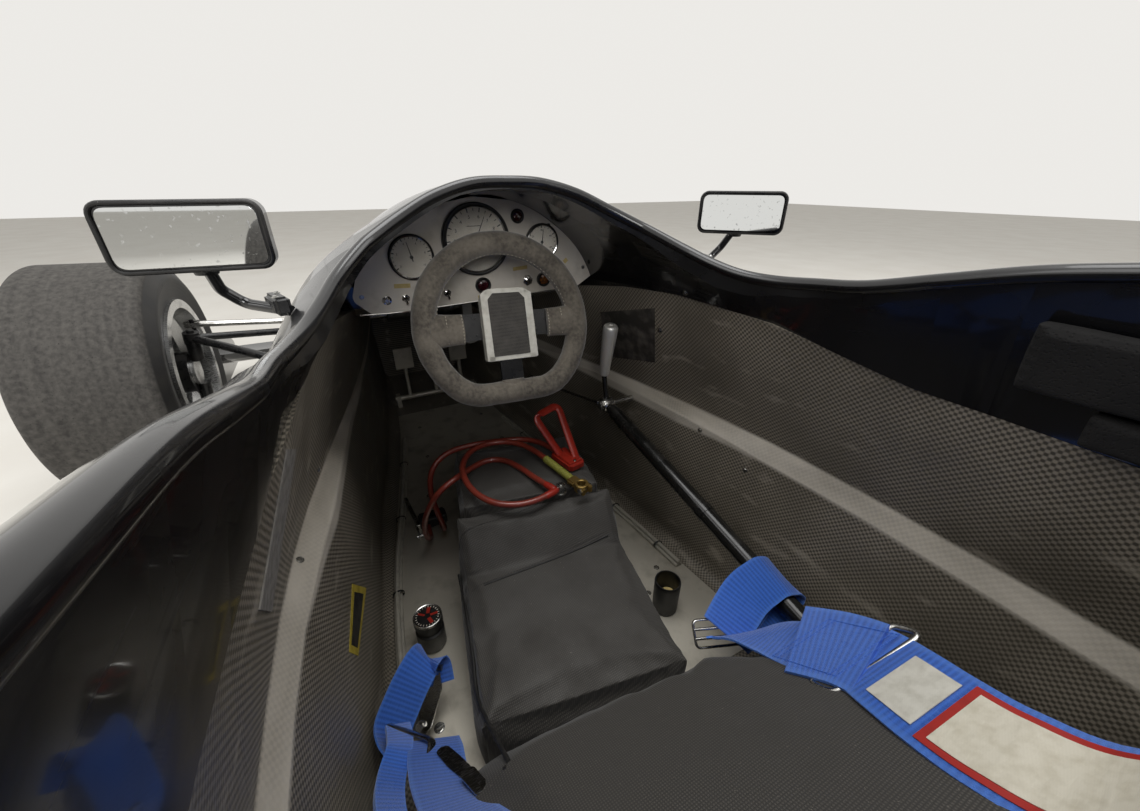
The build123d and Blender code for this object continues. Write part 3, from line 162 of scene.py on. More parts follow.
def scene_light():
    """A pale floor, a pale world that metal also sees, and four soft lamps round the car."""
    world = bpy.data.worlds.new("studio")
    bpy.context.scene.world = world
    bpy.context.scene.view_settings.view_transform = "Standard"
    world.use_nodes = True
    tree = world.node_tree
    ground = tree.nodes["Background"]
    path = add(tree, "LightPath")
    seen = calc(tree, "MAXIMUM", path.outputs["Is Camera Ray"], path.outputs["Is Transmission Ray"])
    seen = calc(tree, "MAXIMUM", seen, path.outputs["Is Glossy Ray"])
    level = span(tree, seen, 0.52, 0.93)
    ground.inputs["Color"].default_value = linear("#f4f2ee")
    tree.links.new(level, ground.inputs["Strength"])
    for name, spot, target, size, power in (
        ("lamp_over", (400, 0, 5000), (400, 0, 0), 3.4, 140),
        ("lamp_left", (600, 3600, 3000), (200, 0, 300), 2.6, 38),
        ("lamp_right", (-400, -3600, 3000), (200, 0, 300), 2.6, 34),
        ("lamp_behind", (-5600, 1600, 3200), (500, 0, 3200), 2.6, 175),
    ):
        data = bpy.data.lights.new(name, "AREA")
        data.size, data.energy = size, power
        lamp = linked(name, data)
        lamp.location = mm(*spot)
        lamp.rotation_euler = (mm(*target) - mm(*spot)).to_track_quat("-Z", "Y").to_euler()
    made, tree, shader, place = finish("pale_floor_plaster", "#dedad3", 0.7)
    grain = blotches(tree, place, 300, 0.3, 0.7)
    put(tree, shader, Base_Color=tint(tree, grain, "#dcd8d0", "#e4e1da"))
    mesh = bpy.data.meshes.new("floor")
    half = 14.0
    mesh.from_pydata([(-half, -half, 0), (half, -half, 0), (half, half, 0), (-half, half, 0)], [],
        [(0, 1, 2, 3)])
    mesh.materials.append(made)
    floor = linked("floor", mesh)


# Finishes


def gelcoat():
    """Polished gelcoat over laminate: deep black, fine scratches, dust that dulls it in patches."""
    base, dust = "#0d0d10", "#4c4a47"
    made, tree, shader, place = finish("black_gelcoat_polished", base, 0.13, Coat_Weight=0.6,
        Coat_Roughness=0.05)
    haze = blotches(tree, place, 70, 0.46, 0.78)
    specks = blotches(tree, place, 2.2, 0.69, 0.74, 2.0)
    marks = blotches(tree, place, 14, 0.62, 0.7, 6.0, (0.12, 1.0, 1.6))
    share = calc(tree, "MULTIPLY", specks, haze)
    put(tree, shader, Base_Color=tint(tree, span(tree, share, 0.0, 0.55), base, dust))
    dull = calc(tree, "ADD", span(tree, haze, 0.1, 0.24), span(tree, marks, 0.0, 0.12))
    put(tree, shader, Roughness=calc(tree, "ADD", dull, handled(tree, place)))
    peel = add(tree, "TexNoise", {"Vector": place, "Scale": 160.0, "Detail": 2.0})
    relief(tree, shader, peel.outputs["Fac"], 0.12, 0.25)
    return made


def handled(tree, place):
    """More roughness on the cockpit's own lining, dulled by hands and cloth."""
    split = axes(tree, place)
    wide = calc(tree, "ABSOLUTE", split[1])
    inside = ramp(tree, wide, 0.29, 0.26)
    rear = ramp(tree, split[0], 0.6, 0.45)
    both = calc(tree, "MULTIPLY", inside, rear)
    return span(tree, both, 0.0, 0.16)


def laminate(name, dark, light, thread_mm, worn=None):
    """Woven carbon and aramid laminate under resin: a small twill, scuffed pale in places."""
    made, tree, shader, place = finish(name, dark, 0.42)
    split = axes(tree, place)
    normal = axes(tree, add(tree, "NewGeometry").outputs["True Normal"])
    flat = calc(tree, "ABSOLUTE", normal[2])
    lies = calc(tree, "GREATER_THAN", flat, 0.7)
    across = add(tree, "Mix", {0: lies, 2: split[2], 3: split[1]}).outputs[0]
    turns = 2 * pi / (thread_mm * 2 * MM)
    warp = calc(tree, "MULTIPLY", split[0], turns)
    weft = calc(tree, "MULTIPLY", across, turns)
    warp = calc(tree, "SINE", warp)
    weft = calc(tree, "SINE", weft)
    cloth = calc(tree, "MULTIPLY", warp, weft)
    cloth = ramp(tree, cloth, -0.5, 0.5)
    patch = blotches(tree, place, 120, 0.35, 0.7)
    amount = calc(tree, "MULTIPLY", cloth, span(tree, patch, 0.45, 1.0))
    colour = tint(tree, amount, dark, light)
    if worn:
        scuffs = blotches(tree, place, 26, 0.6, 0.72, 8.0, (0.35, 1.0, 1.0))
        colour = tint(tree, span(tree, scuffs, 0.0, 0.5), colour, worn)
    put(tree, shader, Base_Color=colour, Roughness=span(tree, patch, 0.34, 0.56))
    relief(tree, shader, cloth, 0.25, 0.5)
    return made


def tub_laminate():
    """The tub: brown-grey twill inside, a painted highlight along its ledge, a black outer face."""
    made = laminate("woven_laminate_tub", "#504b41", "#a39a8b", 3.4, "#bdb4a4")
    tree = made.node_tree
    shader = tree.nodes["Principled BSDF"]
    place = tree.nodes["Texture Coordinate"].outputs["Object"]
    height = axes(tree, place)[2]
    # Painted highlight: a pale band along the inner ledge where the light catches it, broken into patches by
    # noise.
    low = ramp(tree, height, 0.331, 0.337)
    high = ramp(tree, height, 0.366, 0.361)
    side = axes(tree, place)[1]
    wide = calc(tree, "ABSOLUTE", side)
    inner = ramp(tree, wide, 0.336, 0.33)
    ledge_highlight = calc(tree, "MULTIPLY", low, high)
    ledge_highlight = calc(tree, "MULTIPLY", ledge_highlight, inner)
    highlight_breakup = blotches(tree, place, 45, 0.3, 0.62, 6.0, (0.3, 1.0, 1.0))
    share = calc(tree, "MULTIPLY", ledge_highlight, span(tree, highlight_breakup, 0.5, 1.0))
    before = shader.inputs["Base Color"].links[0].from_socket
    inside = tint(tree, share, before, "#d8d0c2")
    normal = axes(tree, add(tree, "NewGeometry").outputs["True Normal"])[1]
    outward = calc(tree, "MULTIPLY", normal, side)
    outside = ramp(tree, outward, 0.05, 0.09)
    put(tree, shader, Base_Color=tint(tree, outside, inside, "#191817"))
    return made


def brushed(name, base, grain_mm, along, rough=0.32, dirt="#6f6a60", metal=1.0):
    """Metal sheet or bar with a grain along one axis, fingermarks and grime in patches."""
    made, tree, shader, place = finish(name, base, rough, Metallic=metal)
    stretch = [0.04 if axis == along else 1.0 for axis in "xyz"]
    lines = blotches(tree, place, grain_mm, 0.3, 0.7, 3.0, stretch)
    grime = blotches(tree, place, 38, 0.52, 0.8, 6.0)
    put(tree, shader, Base_Color=tint(tree, span(tree, grime, 0.0, 0.6), base, dirt))
    dull = calc(tree, "ADD", span(tree, lines, rough - 0.1, rough + 0.1), span(tree, grime, 0.0, 0.2))
    put(tree, shader, Roughness=dull)
    relief(tree, shader, lines, 0.05, 0.4)
    return made


def cast(name, base, rough=0.5, metal=1.0, grit_mm=1.5, dirt="#3a342c"):
    """Sand-cast or shot-blasted metal: a fine grit and oil-dark patches."""
    made, tree, shader, place = finish(name, base, rough, Metallic=metal)
    grit = add(tree, "TexNoise", {"Vector": place, "Scale": 1 / (grit_mm * MM), "Detail": 3.0})
    oil = blotches(tree, place, 60, 0.5, 0.75, 6.0)
    put(tree, shader, Base_Color=tint(tree, span(tree, oil, 0.0, 0.75), base, dirt))
    put(tree, shader, Roughness=span(tree, grit.outputs["Fac"], rough - 0.08, rough + 0.14))
    relief(tree, shader, grit.outputs["Fac"], 0.2, 0.4)
    return made


def enamel(name, base, rough=0.35):
    """Stove enamel or powder coat on steel, with small chips and road film."""
    made, tree, shader, place = finish(name, base, rough)
    film = blotches(tree, place, 30, 0.45, 0.75, 6.0)
    chips = blotches(tree, place, 3.0, 0.7, 0.73, 3.0)
    colour = tint(tree, span(tree, film, 0.0, 0.4), base, "#3c3833")
    put(tree, shader, Base_Color=tint(tree, span(tree, chips, 0.0, 0.6), colour, "#5b5853"))
    put(tree, shader, Roughness=span(tree, film, rough - 0.08, rough + 0.2))
    relief(tree, shader, chips, 0.08, 0.4)
    return made


def rubber_tread(name, centre_x, centre_z, tread_mm):
    """Worn slick compound: grey tread with picked-up grit, and a blacker, ringed sidewall below it."""
    made, tree, shader, place = finish(name, "#2c2b2a", 0.85)
    split = axes(tree, place)
    ahead = calc(tree, "SUBTRACT", split[0], centre_x * MM)
    above = calc(tree, "SUBTRACT", split[2], centre_z * MM)
    spoke = add(tree, "CombineXYZ", {"X": ahead, "Y": above}).outputs[0]
    reach = add(tree, "VectorMath", {0: spoke}, operation="LENGTH").outputs["Value"]
    tread = ramp(tree, reach, (tread_mm - 4) * MM, tread_mm * MM)
    lane = add(tree, "CombineXYZ", {"X": split[1]}).outputs[0]
    bands = blotches(tree, lane, 16, 0.3, 0.7, 3.0)
    scrub = blotches(tree, place, 9, 0.35, 0.72, 8.0)
    grit = blotches(tree, place, 3.2, 0.66, 0.72, 3.0)
    colour = tint(tree, span(tree, scrub, 0.1, 0.9), "#262423", "#55524e")
    colour = tint(tree, span(tree, bands, 0.0, 0.45), colour, "#5e5b56")
    colour = tint(tree, span(tree, grit, 0.0, 0.8), colour, "#1a1817")
    rings = add(tree, "TexNoise", {"Vector": add(tree, "CombineXYZ", {"X": reach}).outputs[0],
        "Scale": 260.0, "Detail": 2.0}).outputs["Fac"]
    film = blotches(tree, place, 50, 0.4, 0.75, 5.0)
    side = tint(tree, span(tree, film, 0.0, 0.6), tint(tree, rings, "#161616", "#232222"), "#34312d")
    put(tree, shader, Base_Color=tint(tree, tread, side, colour), Roughness=span(tree, tread, 0.55, 0.88))
    both = calc(tree, "ADD", scrub, grit)
    worn = calc(tree, "MULTIPLY", both, tread)
    relief(tree, shader, calc(tree, "ADD", worn, rings), 0.8, 0.7)
    return made


def suede():
    """Napped suede, rubbed smooth and paler where hands hold it, with a soft sheen."""
    made, tree, shader, place = finish("rubbed_suede", "#3f3a34", 0.92, Sheen_Weight=0.35,
        Sheen_Roughness=0.5)
    nap = blotches(tree, place, 5, 0.3, 0.7, 8.0)
    hands = blotches(tree, place, 34, 0.38, 0.66, 4.0)
    colour = tint(tree, nap, "#453f38", "#6f685d")
    colour = tint(tree, span(tree, hands, 0.0, 0.55), colour, "#8a8275")
    put(tree, shader, Base_Color=colour)
    relief(tree, shader, nap, 0.5, 0.5)
    return made


def pad_cloth(name, thread_mm, lint, base, pale):
    """Coated cotton cloth: ribbed threads, matt black, lint and sand in its folds."""
    made, tree, shader, place = finish(name, base, 0.78, Sheen_Weight=0.15, Sheen_Roughness=0.5)
    ribs = add(tree, "TexWave", {"Vector": place, "Scale": 1 / (thread_mm * MM) / (2 * pi) * 2,
        "Distortion": 0.4}, bands_direction="Y")
    cross = add(tree, "TexWave", {"Vector": place, "Scale": 1 / (thread_mm * MM) / (2 * pi) * 2,
        "Distortion": 0.4}, bands_direction="X")
    weave = calc(tree, "MULTIPLY", ribs.outputs["Fac"], cross.outputs["Fac"])
    worn = blotches(tree, place, 55, 0.4, 0.75, 5.0)
    specks = blotches(tree, place, 2.0, 0.72, 0.75, 2.0)
    colour = tint(tree, weave, base, pale)
    colour = tint(tree, span(tree, worn, 0.0, 0.35), colour, "#2f2c29")
    put(tree, shader, Base_Color=tint(tree, span(tree, specks, 0.0, 0.9), colour, lint))
    put(tree, shader, Roughness=span(tree, worn, 0.62, 0.85))
    relief(tree, shader, weave, 0.35, 0.6)
    return made


def webbing():
    """Polyester belt: ribs across it, a denser edge and faded fibres, by the strip's own UV in metres."""
    base, dark, edge = "#3c78e4", "#2458bd", "#5a90ee"
    made, tree, shader, _ = finish("blue_belt_webbing", base, 0.62, Sheen_Weight=0.3, Sheen_Roughness=0.4)
    flat = add(tree, "UVMap", uv_map="strip").outputs[0]
    split = axes(tree, flat)
    ribs = add(tree, "TexWave", {"Vector": flat, "Scale": 62.0, "Distortion": 0.6, "Detail": 1.0},
        bands_direction="X")
    cords = add(tree, "TexWave", {"Vector": flat, "Scale": 90.0}, bands_direction="Y")
    away = calc(tree, "ABSOLUTE", split[1])
    selvedge = ramp(tree, away, 0.42, 0.46)
    patch = blotches(tree, flat, 18, 0.3, 0.7, 4.0)
    colour = tint(tree, ribs.outputs["Fac"], dark, base)
    colour = tint(tree, span(tree, patch, 0.0, 0.4), colour, edge)
    put(tree, shader, Base_Color=tint(tree, span(tree, selvedge, 0.0, 0.5), colour, edge))
    both = calc(tree, "ADD", ribs.outputs["Fac"], cords.outputs["Fac"])
    relief(tree, shader, both, 0.5, 0.6)
    return made


def plain(name, base, rough, mark=None, size_mm=12, **sockets):
    """Moulded or painted stuff of one colour with faint marks of a real size."""
    made, tree, shader, place = finish(name, base, rough, **sockets)
    patch = blotches(tree, place, size_mm, 0.45, 0.75, 6.0)
    put(tree, shader, Base_Color=tint(tree, span(tree, patch, 0.0, 0.5), base, mark or base))
    put(tree, shader, Roughness=span(tree, patch, rough, min(1.0, rough + 0.18)))
    fine = add(tree, "TexNoise", {"Vector": place, "Scale": 900.0})
    relief(tree, shader, fine.outputs["Fac"], 0.05, 0.2)
    return made


def cell_foam():
    """Closed-cell foam sheet: matt black with small open pores on its cut faces."""
    base = "#171616"
    made, tree, shader, place = finish("closed_cell_foam", base, 0.9)
    cells = add(tree, "TexVoronoi", {"Vector": place, "Scale": 1 / (2.4 * MM)}).outputs["Distance"]
    pores = ramp(tree, cells, 0.15, 0.45)
    worn = blotches(tree, place, 40, 0.45, 0.75, 5.0)
    colour = tint(tree, pores, "#0d0d0d", base)
    put(tree, shader, Base_Color=tint(tree, span(tree, worn, 0.0, 0.5), colour, "#2b2927"))
    relief(tree, shader, pores, 0.5, 0.6)
    return made


def woven_tape(name, base, shade):
    """Adhesive cloth tape: a fine weave under a matt coat, wrinkled and thumbed darker in places."""
    made, tree, shader, place = finish(name, base, 0.6)
    threads = [
        add(tree, "TexWave", {"Vector": place, "Scale": 1 / (0.9 * MM) / pi, "Distortion": 0.3},
            bands_direction=way).outputs["Fac"]
        for way in ("Y", "Z")
    ]
    cloth = calc(tree, "MULTIPLY", threads[0], threads[1])
    thumbed = blotches(tree, place, 9, 0.42, 0.72, 6.0)
    colour = tint(tree, span(tree, thumbed, 0.0, 0.7), base, shade)
    put(tree, shader, Base_Color=tint(tree, span(tree, cloth, 0.0, 0.15), colour, shade),
        Roughness=span(tree, thumbed, 0.5, 0.72))
    creases = blotches(tree, place, 7, 0.4, 0.6, 3.0, (1.0, 0.25, 1.0))
    relief(tree, shader, creases, 0.25, 0.5)
    return made


def mesh_cloth():
    """Knitted mesh over the wheel's pad: a grid of small dark holes in grey thread, 1.6 mm apart."""
    base = "#45423e"
    made, tree, shader, place = finish("dark_grey_mesh_cloth", base, 0.85, Sheen_Weight=0.1)
    cells = add(tree, "TexVoronoi", {"Vector": place, "Scale": 1 / (1.6 * MM),
        "Randomness": 0.25}).outputs["Distance"]
    holes = ramp(tree, cells, 0.2, 0.42)
    worn = blotches(tree, place, 18, 0.4, 0.7, 5.0)
    colour = tint(tree, holes, "#1b1a19", base)
    put(tree, shader, Base_Color=tint(tree, span(tree, worn, 0.0, 0.4), colour, "#5c5852"))
    relief(tree, shader, holes, 0.4, 0.7)
    return made


def clear_glass():
    """Clean instrument glass: nearly clear and glossy, with a faint film of dust."""
    made, tree, shader, place = finish("dial_glass", "#f4f6f5", 0.03, Alpha=0.1, Coat_Weight=0.5)
    film = blotches(tree, place, 12, 0.5, 0.8, 4.0)
    put(tree, shader, Roughness=span(tree, film, 0.02, 0.12))
    return made


def lens(name, base):
    """Moulded coloured lamp lens: glossy, part see-through, mottled by its inner prisms."""
    made, tree, shader, place = finish(name, base, 0.12, Transmission_Weight=0.25, Coat_Weight=0.8,
        Coat_Roughness=0.05)
    prisms = add(tree, "TexVoronoi", {"Vector": place, "Scale": 1 / (4.0 * MM)}).outputs["Distance"]
    share = ramp(tree, prisms, 0.1, 0.6)
    put(tree, shader, Base_Color=tint(tree, span(tree, share, 0.0, 0.7), base, "#1a0b0b"))
    relief(tree, shader, share, 0.4, 0.5)
    return made


def mirror_silver():
    """Silvered mirror glass: near perfect reflection, dulled by dried rain spots."""
    made, tree, shader, place = finish("silvered_mirror_glass", "#e6e8e8", 0.03, Metallic=1.0)
    spots = blotches(tree, place, 4, 0.62, 0.7, 3.0)
    put(tree, shader, Roughness=span(tree, spots, 0.02, 0.2))
    put(tree, shader, Base_Color=tint(tree, span(tree, spots, 0.0, 0.4), "#e6e8e8", "#b8bab9"))
    return made


# Shapes


def form():
    """An empty mesh to add shapes to."""
    return bmesh.new()


def piece(name, shape, material, body="chassis", slot="", replaces=(), smooth=True, angle=35):
    """A finished object from a shape: welded, shaded and riding on its body."""
    mesh = bpy.data.meshes.new(name)
    if isinstance(shape, bmesh.types.BMesh):
        bmesh.ops.remove_doubles(shape, verts=shape.verts, dist=0.00001)
        bmesh.ops.recalc_face_normals(shape, faces=shape.faces)
        shape.to_mesh(mesh)
        shape.free()
        made = bpy.data.objects.new(name, mesh)
    else:
        made, mesh = shape, shape.data
        made.name = name
    mesh.materials.clear()
    mesh.materials.append(material)
    if made.name not in bpy.context.scene.collection.objects:
        bpy.context.scene.collection.objects.link(made)
    for face in mesh.polygons:
        face.use_smooth = smooth
    if smooth and angle:
        mesh.set_sharp_from_angle(angle=radians(angle))
    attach(made, body)
    if replaces:
        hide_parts(*replaces)
    return made


def rings_of(shape, rings, closed=False):
    """Faces between rings of vertices, with capped ends."""
    count = len(rings[0])
    pairs = list(zip(rings, rings[1:])) + ([(rings[-1], rings[0])] if closed else [])
    for a, b in pairs:
        for i in range(count):
            j = (i + 1) % count
            shape.faces.new((a[i], a[j], b[j], b[i]))
    if not closed:
        shape.faces.new(list(reversed(rings[0])))
        shape.faces.new(rings[-1])


def smooth_line(points, steps=6):
    """Points along a soft curve through the given ones."""
    count = len(points)
    out = []
    for i in range(count - 1):
        a, b, c, d = points[max(i - 1, 0)], points[i], points[i + 1], points[min(i + 2, count - 1)]
        for s in range(steps):
            t = s / steps
            out.append(
                0.5 * (2 * b + (c - a) * t + (2 * a - 5 * b + 4 * c - d) * t * t
                       + (3 * b - a - 3 * c + d) * t**3)
            )
    out.append(points[-1])
    return out


def add_tube(shape, line, radius, sides=16, closed=False, across=None):
    """A tube along a line; radius is one number, one for each point, or (wide, high) about across."""
    count = len(line)
    rings, side = [], None
    for i, point in enumerate(line):
        before = line[i - 1] if (i or closed) else line[0]
        after = line[(i + 1) % count] if (i < count - 1 or closed) else line[-1]
        way = (after - before).normalized()
        if across is not None:
            side = (across - way * across.dot(way)).normalized()
        elif side is None:
            side = way.orthogonal().normalized()
        else:
            side = (side - way * side.dot(way)).normalized()
        up = way.cross(side)
        size = radius[i] if isinstance(radius, list) else radius
        wide, high = size if isinstance(size, tuple) else (size, size)
        rings.append([
            shape.verts.new(point + side * cos(2 * pi * k / sides) * wide
                            + up * sin(2 * pi * k / sides) * high)
            for k in range(sides)
        ])
    rings_of(shape, rings, closed)


def in_mm(profile):
    """A profile given in millimetres, in metres."""
    return [(along * MM, radius * MM) for along, radius in profile]


def add_lathe(shape, origin, axis, profile, steps=48, closed=False):
    """A profile of (along the axis, radius) turned about the axis; a closed profile makes a ring."""
    axis = axis.normalized()
    side = axis.orthogonal().normalized()
    up = axis.cross(side)
    rings = []
    for k in range(steps):
        turn = 2 * pi * k / steps
        out = side * cos(turn) + up * sin(turn)
        rings.append([shape.verts.new(origin + axis * a + out * r) for a, r in profile])
    count = len(profile)
    for k in range(steps):
        a, b = rings[k], rings[(k + 1) % steps]
        for i in range(count if closed else count - 1):
            j = (i + 1) % count
            if (a[i].co - b[i].co).length < 1e-9 and (a[j].co - b[j].co).length < 1e-9:
                continue
            if (a[i].co - b[i].co).length < 1e-9:
                shape.faces.new((a[i], a[j], b[j]))
            elif (a[j].co - b[j].co).length < 1e-9:
                shape.faces.new((a[i], a[j], b[i]))
            else:
                shape.faces.new((a[i], a[j], b[j], b[i]))


def add_slab(shape, outline, push, bevel=0.0):
    """A plate from its outline, pushed out by a vector, its rims rounded by bevel."""
    low = [shape.verts.new(p) for p in outline]
    high = [shape.verts.new(p + push) for p in outline]
    base = shape.faces.new(list(reversed(low)))
    top = shape.faces.new(high)
    for i in range(len(outline)):
        j = (i + 1) % len(outline)
        shape.faces.new((low[i], low[j], high[j], high[i]))
    if bevel:
        edges = list(set(base.edges) | set(top.edges))
        bmesh.ops.bevel(shape, geom=edges, offset=bevel, segments=2, affect="EDGES", clamp_overlap=True)


def add_box(shape, centre, size, turn=None, bevel=0.0):
    """A block with its edges rounded by bevel."""
    made = bmesh.ops.create_cube(shape, size=1.0)["verts"]
    place = Matrix.Translation(centre) @ (turn or Matrix()).to_4x4() @ Matrix.Diagonal((*size, 1.0))
    bmesh.ops.transform(shape, matrix=place, verts=made)
    if bevel:
        edges = list({e for v in made for e in v.link_edges})
        bmesh.ops.bevel(shape, geom=edges, offset=bevel, segments=3, affect="EDGES", clamp_overlap=True)


def rounded(corners, radii, steps=6):
    """A closed outline with each corner rounded by its own radius."""
    out = []
    for i, corner in enumerate(corners):
        before, after = corners[i - 1] - corner, corners[(i + 1) % len(corners)] - corner
        radius = radii[i] if isinstance(radii, (list, tuple)) else radii
        if radius <= 0:
            out.append(corner)
            continue
        half = before.angle(after) / 2
        reach = min(radius / max(0.01, abs(sin(half) / cos(half))), 0.49 * before.length, 0.49 * after.length)
        start, end = corner + before.normalized() * reach, corner + after.normalized() * reach
        for s in range(steps + 1):
            t = s / steps
            out.append(start * (1 - t) ** 2 + corner * 2 * t * (1 - t) + end * t * t)
    return out


def strip(name, line, sides, width_mm, material, thick_mm=1.8, **more):
    """Flat webbing along a line: sides gives the way its width points; UV along it in metres."""
    shape = form()
    uv = shape.loops.layers.uv.new("strip")
    width, thick = width_mm * MM, thick_mm * MM
    steps = 8
    rows, run, along = [], 0.0, []
    for i, point in enumerate(line):
        way = (line[min(i + 1, len(line) - 1)] - line[max(i - 1, 0)]).normalized()
        side = (sides[i] - way * sides[i].dot(way)).normalized()
        up = way.cross(side)
        if i:
            run += (point - line[i - 1]).length
        along.append(run)
        top = [point + side * width * (k / steps - 0.5) + up * thick / 2 for k in range(steps + 1)]
        low = [point + side * width * (k / steps - 0.5) - up * thick / 2 for k in range(steps, -1, -1)]
        rows.append([shape.verts.new(p) for p in top + low])
    count = len(rows[0])
    across = [k / steps - 0.5 for k in range(steps + 1)] + [k / steps - 0.5 for k in range(steps, -1, -1)]
    for r in range(len(rows) - 1):
        for i in range(count):
            j = (i + 1) % count
            face = shape.faces.new((rows[r][i], rows[r][j], rows[r + 1][j], rows[r + 1][i]))
            for loop, (row, k) in zip(face.loops, ((r, i), (r, j), (r + 1, j), (r + 1, i))):
                loop[uv].uv = (along[row], across[k])
    for row, flip in ((rows[0], True), (rows[-1], False)):
        shape.faces.new(list(reversed(row)) if flip else row)
    return piece(name, shape, material, **more)


def dress(material, *nodes):
    """A CAD node whose shape stays gets its finish."""
    for name in nodes:
        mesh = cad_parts[name].data
        mesh.materials.clear()
        mesh.materials.append(material)


# Places and surfaces


def surface(*names):
    """The joined surface of some nodes or pieces, for landing things on."""
    corners, faces = [], []
    for name in names:
        mesh = bpy.data.objects[name].data if name in bpy.data.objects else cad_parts[name].data
        start = len(corners)
        corners += [v.co.copy() for v in mesh.vertices]
        faces += [[start + i for i in face.vertices] for face in mesh.polygons]
    return BVHTree.FromPolygons(corners, faces)


def toward_pixel(px, py):
    """The way from the camera through a pixel of the photograph."""
    turn = bpy.context.scene.camera.matrix_world.to_3x3()
    wide, high = IMAGE
    half = PICTURE_WIDE / 2 / LENS
    return (turn @ Vector(((px / wide * 2 - 1) * half, (1 - py / high * 2) * half * high / wide,
        -1))).normalized()


def seen(tree, px, py, lift_mm=0.0):
    """The point of a surface under a pixel of the photograph, lifted off it."""
    eye = bpy.context.scene.camera.matrix_world.translation
    way = toward_pixel(px, py)
    spot, normal, _, _ = tree.ray_cast(eye, way)
    if spot is None:
        spot, normal, _, _ = tree.find_nearest(eye + way * 0.6)
    if normal.dot(way) > 0:
        normal = -normal
    return spot + normal * lift_mm * MM, normal


def dropped(tree, x, y, lift_mm=0.0):
    """The point of a surface below a place in plan, lifted off it, and its normal."""
    spot, normal, _, _ = tree.ray_cast(mm(x, y, 900), DOWN)
    if spot is None:
        spot, normal, _, _ = tree.find_nearest(Vector((x * MM, y * MM, 0.3)))
    if normal.z < 0:
        normal = -normal
    return spot + normal * lift_mm * MM, normal


def on(place, a, b, c=0.0):
    """A point of a flat place: a to its right, b up and c out of it, in mm."""
    origin, right, high, out = place
    return origin + (right * a + high * b + out * c) * MM


def facing(centre, out, up=(0, 0, 1)):
    """A flat place: its origin and its ways to the right, up and out."""
    out = Vector(out).normalized()
    high = (Vector(up) - out * Vector(up).dot(out)).normalized()
    return mm(*centre), high.cross(out), high, out


def square(place):
    """A place's turn as a matrix."""
    return Matrix(place[1:]).transposed()


def patch(name, tree, corners, material, lift_mm=0.5, steps=8, **more):
    """A thin sheet over a surface between four pixels of the photograph."""
    shape = form()
    top = []
    for i in range(steps + 1):
        row = []
        for j in range(steps + 1):
            s, t = i / steps, j / steps
            (ax, ay), (bx, by), (cx, cy), (dx, dy) = corners
            px = ax * (1 - s) * (1 - t) + bx * s * (1 - t) + cx * s * t + dx * (1 - s) * t
            py = ay * (1 - s) * (1 - t) + by * s * (1 - t) + cy * s * t + dy * (1 - s) * t
            row.append(shape.verts.new(seen(tree, px, py, lift_mm)[0]))
        top.append(row)
    low = [[shape.verts.new(seen_back(tree, v.co)) for v in row] for row in top]
    for i in range(steps):
        for j in range(steps):
            shape.faces.new((top[i][j], top[i + 1][j], top[i + 1][j + 1], top[i][j + 1]))
            shape.faces.new((low[i][j], low[i][j + 1], low[i + 1][j + 1], low[i + 1][j]))
    rim = [(0, j) for j in range(steps)] + [(i, steps) for i in range(steps)]
    rim += [(steps, j) for j in range(steps, 0, -1)] + [(i, 0) for i in range(steps, 0, -1)]
    for (i, j), (k, m) in zip(rim, rim[1:] + rim[:1]):
        shape.faces.new((top[i][j], top[k][m], low[k][m], low[i][j]))
    return piece(name, shape, material, **more)


def seen_back(tree, spot):
    """The same point let down onto the surface."""
    return spot.lerp(tree.find_nearest(spot)[0], 0.9)


def lathed(name, material, origin, axis, profile, steps, closed=False, **more):
    """A piece that is one turned form."""
    shape = form()
    add_lathe(shape, origin, axis, profile, steps, closed)
    return piece(name, shape, material, **more)


def node_tree(name, settings):
    """A geometry tree with named settings in metres, its input and its output."""
    tree = bpy.data.node_groups.new(name + "_tree", "GeometryNodeTree")
    face = tree.interface
    face.new_socket("Geometry", in_out="INPUT", socket_type="NodeSocketGeometry")
    for label, value_mm in settings:
        face.new_socket(label, in_out="INPUT", socket_type="NodeSocketFloat").default_value = value_mm * MM
    face.new_socket("Geometry", in_out="OUTPUT", socket_type="NodeSocketGeometry")
    return tree, tree.nodes.new("NodeGroupInput").outputs, tree.nodes.new("NodeGroupOutput").inputs


def instanced(tree, made, name, end, points, instance, way, material):
    """Ends the tree: the instance on each point, turned to its way, made real and coloured."""
    turn = add(tree, "FunctionNodeAlignRotationToVector", {"Vector": way}, axis="Z").outputs[0]
    inputs = {"Points": points, "Instance": instance, "Rotation": turn}
    placed = add(tree, "GeometryNodeInstanceOnPoints", inputs).outputs[0]
    real = add(tree, "GeometryNodeRealizeInstances", {"Geometry": placed}).outputs[0]
    coloured = add(tree, "GeometryNodeSetMaterial", {"Geometry": real, "Material": material})
    tree.links.new(coloured.outputs[0], end[0])
    made.modifiers.new(name, "NODES").node_group = tree


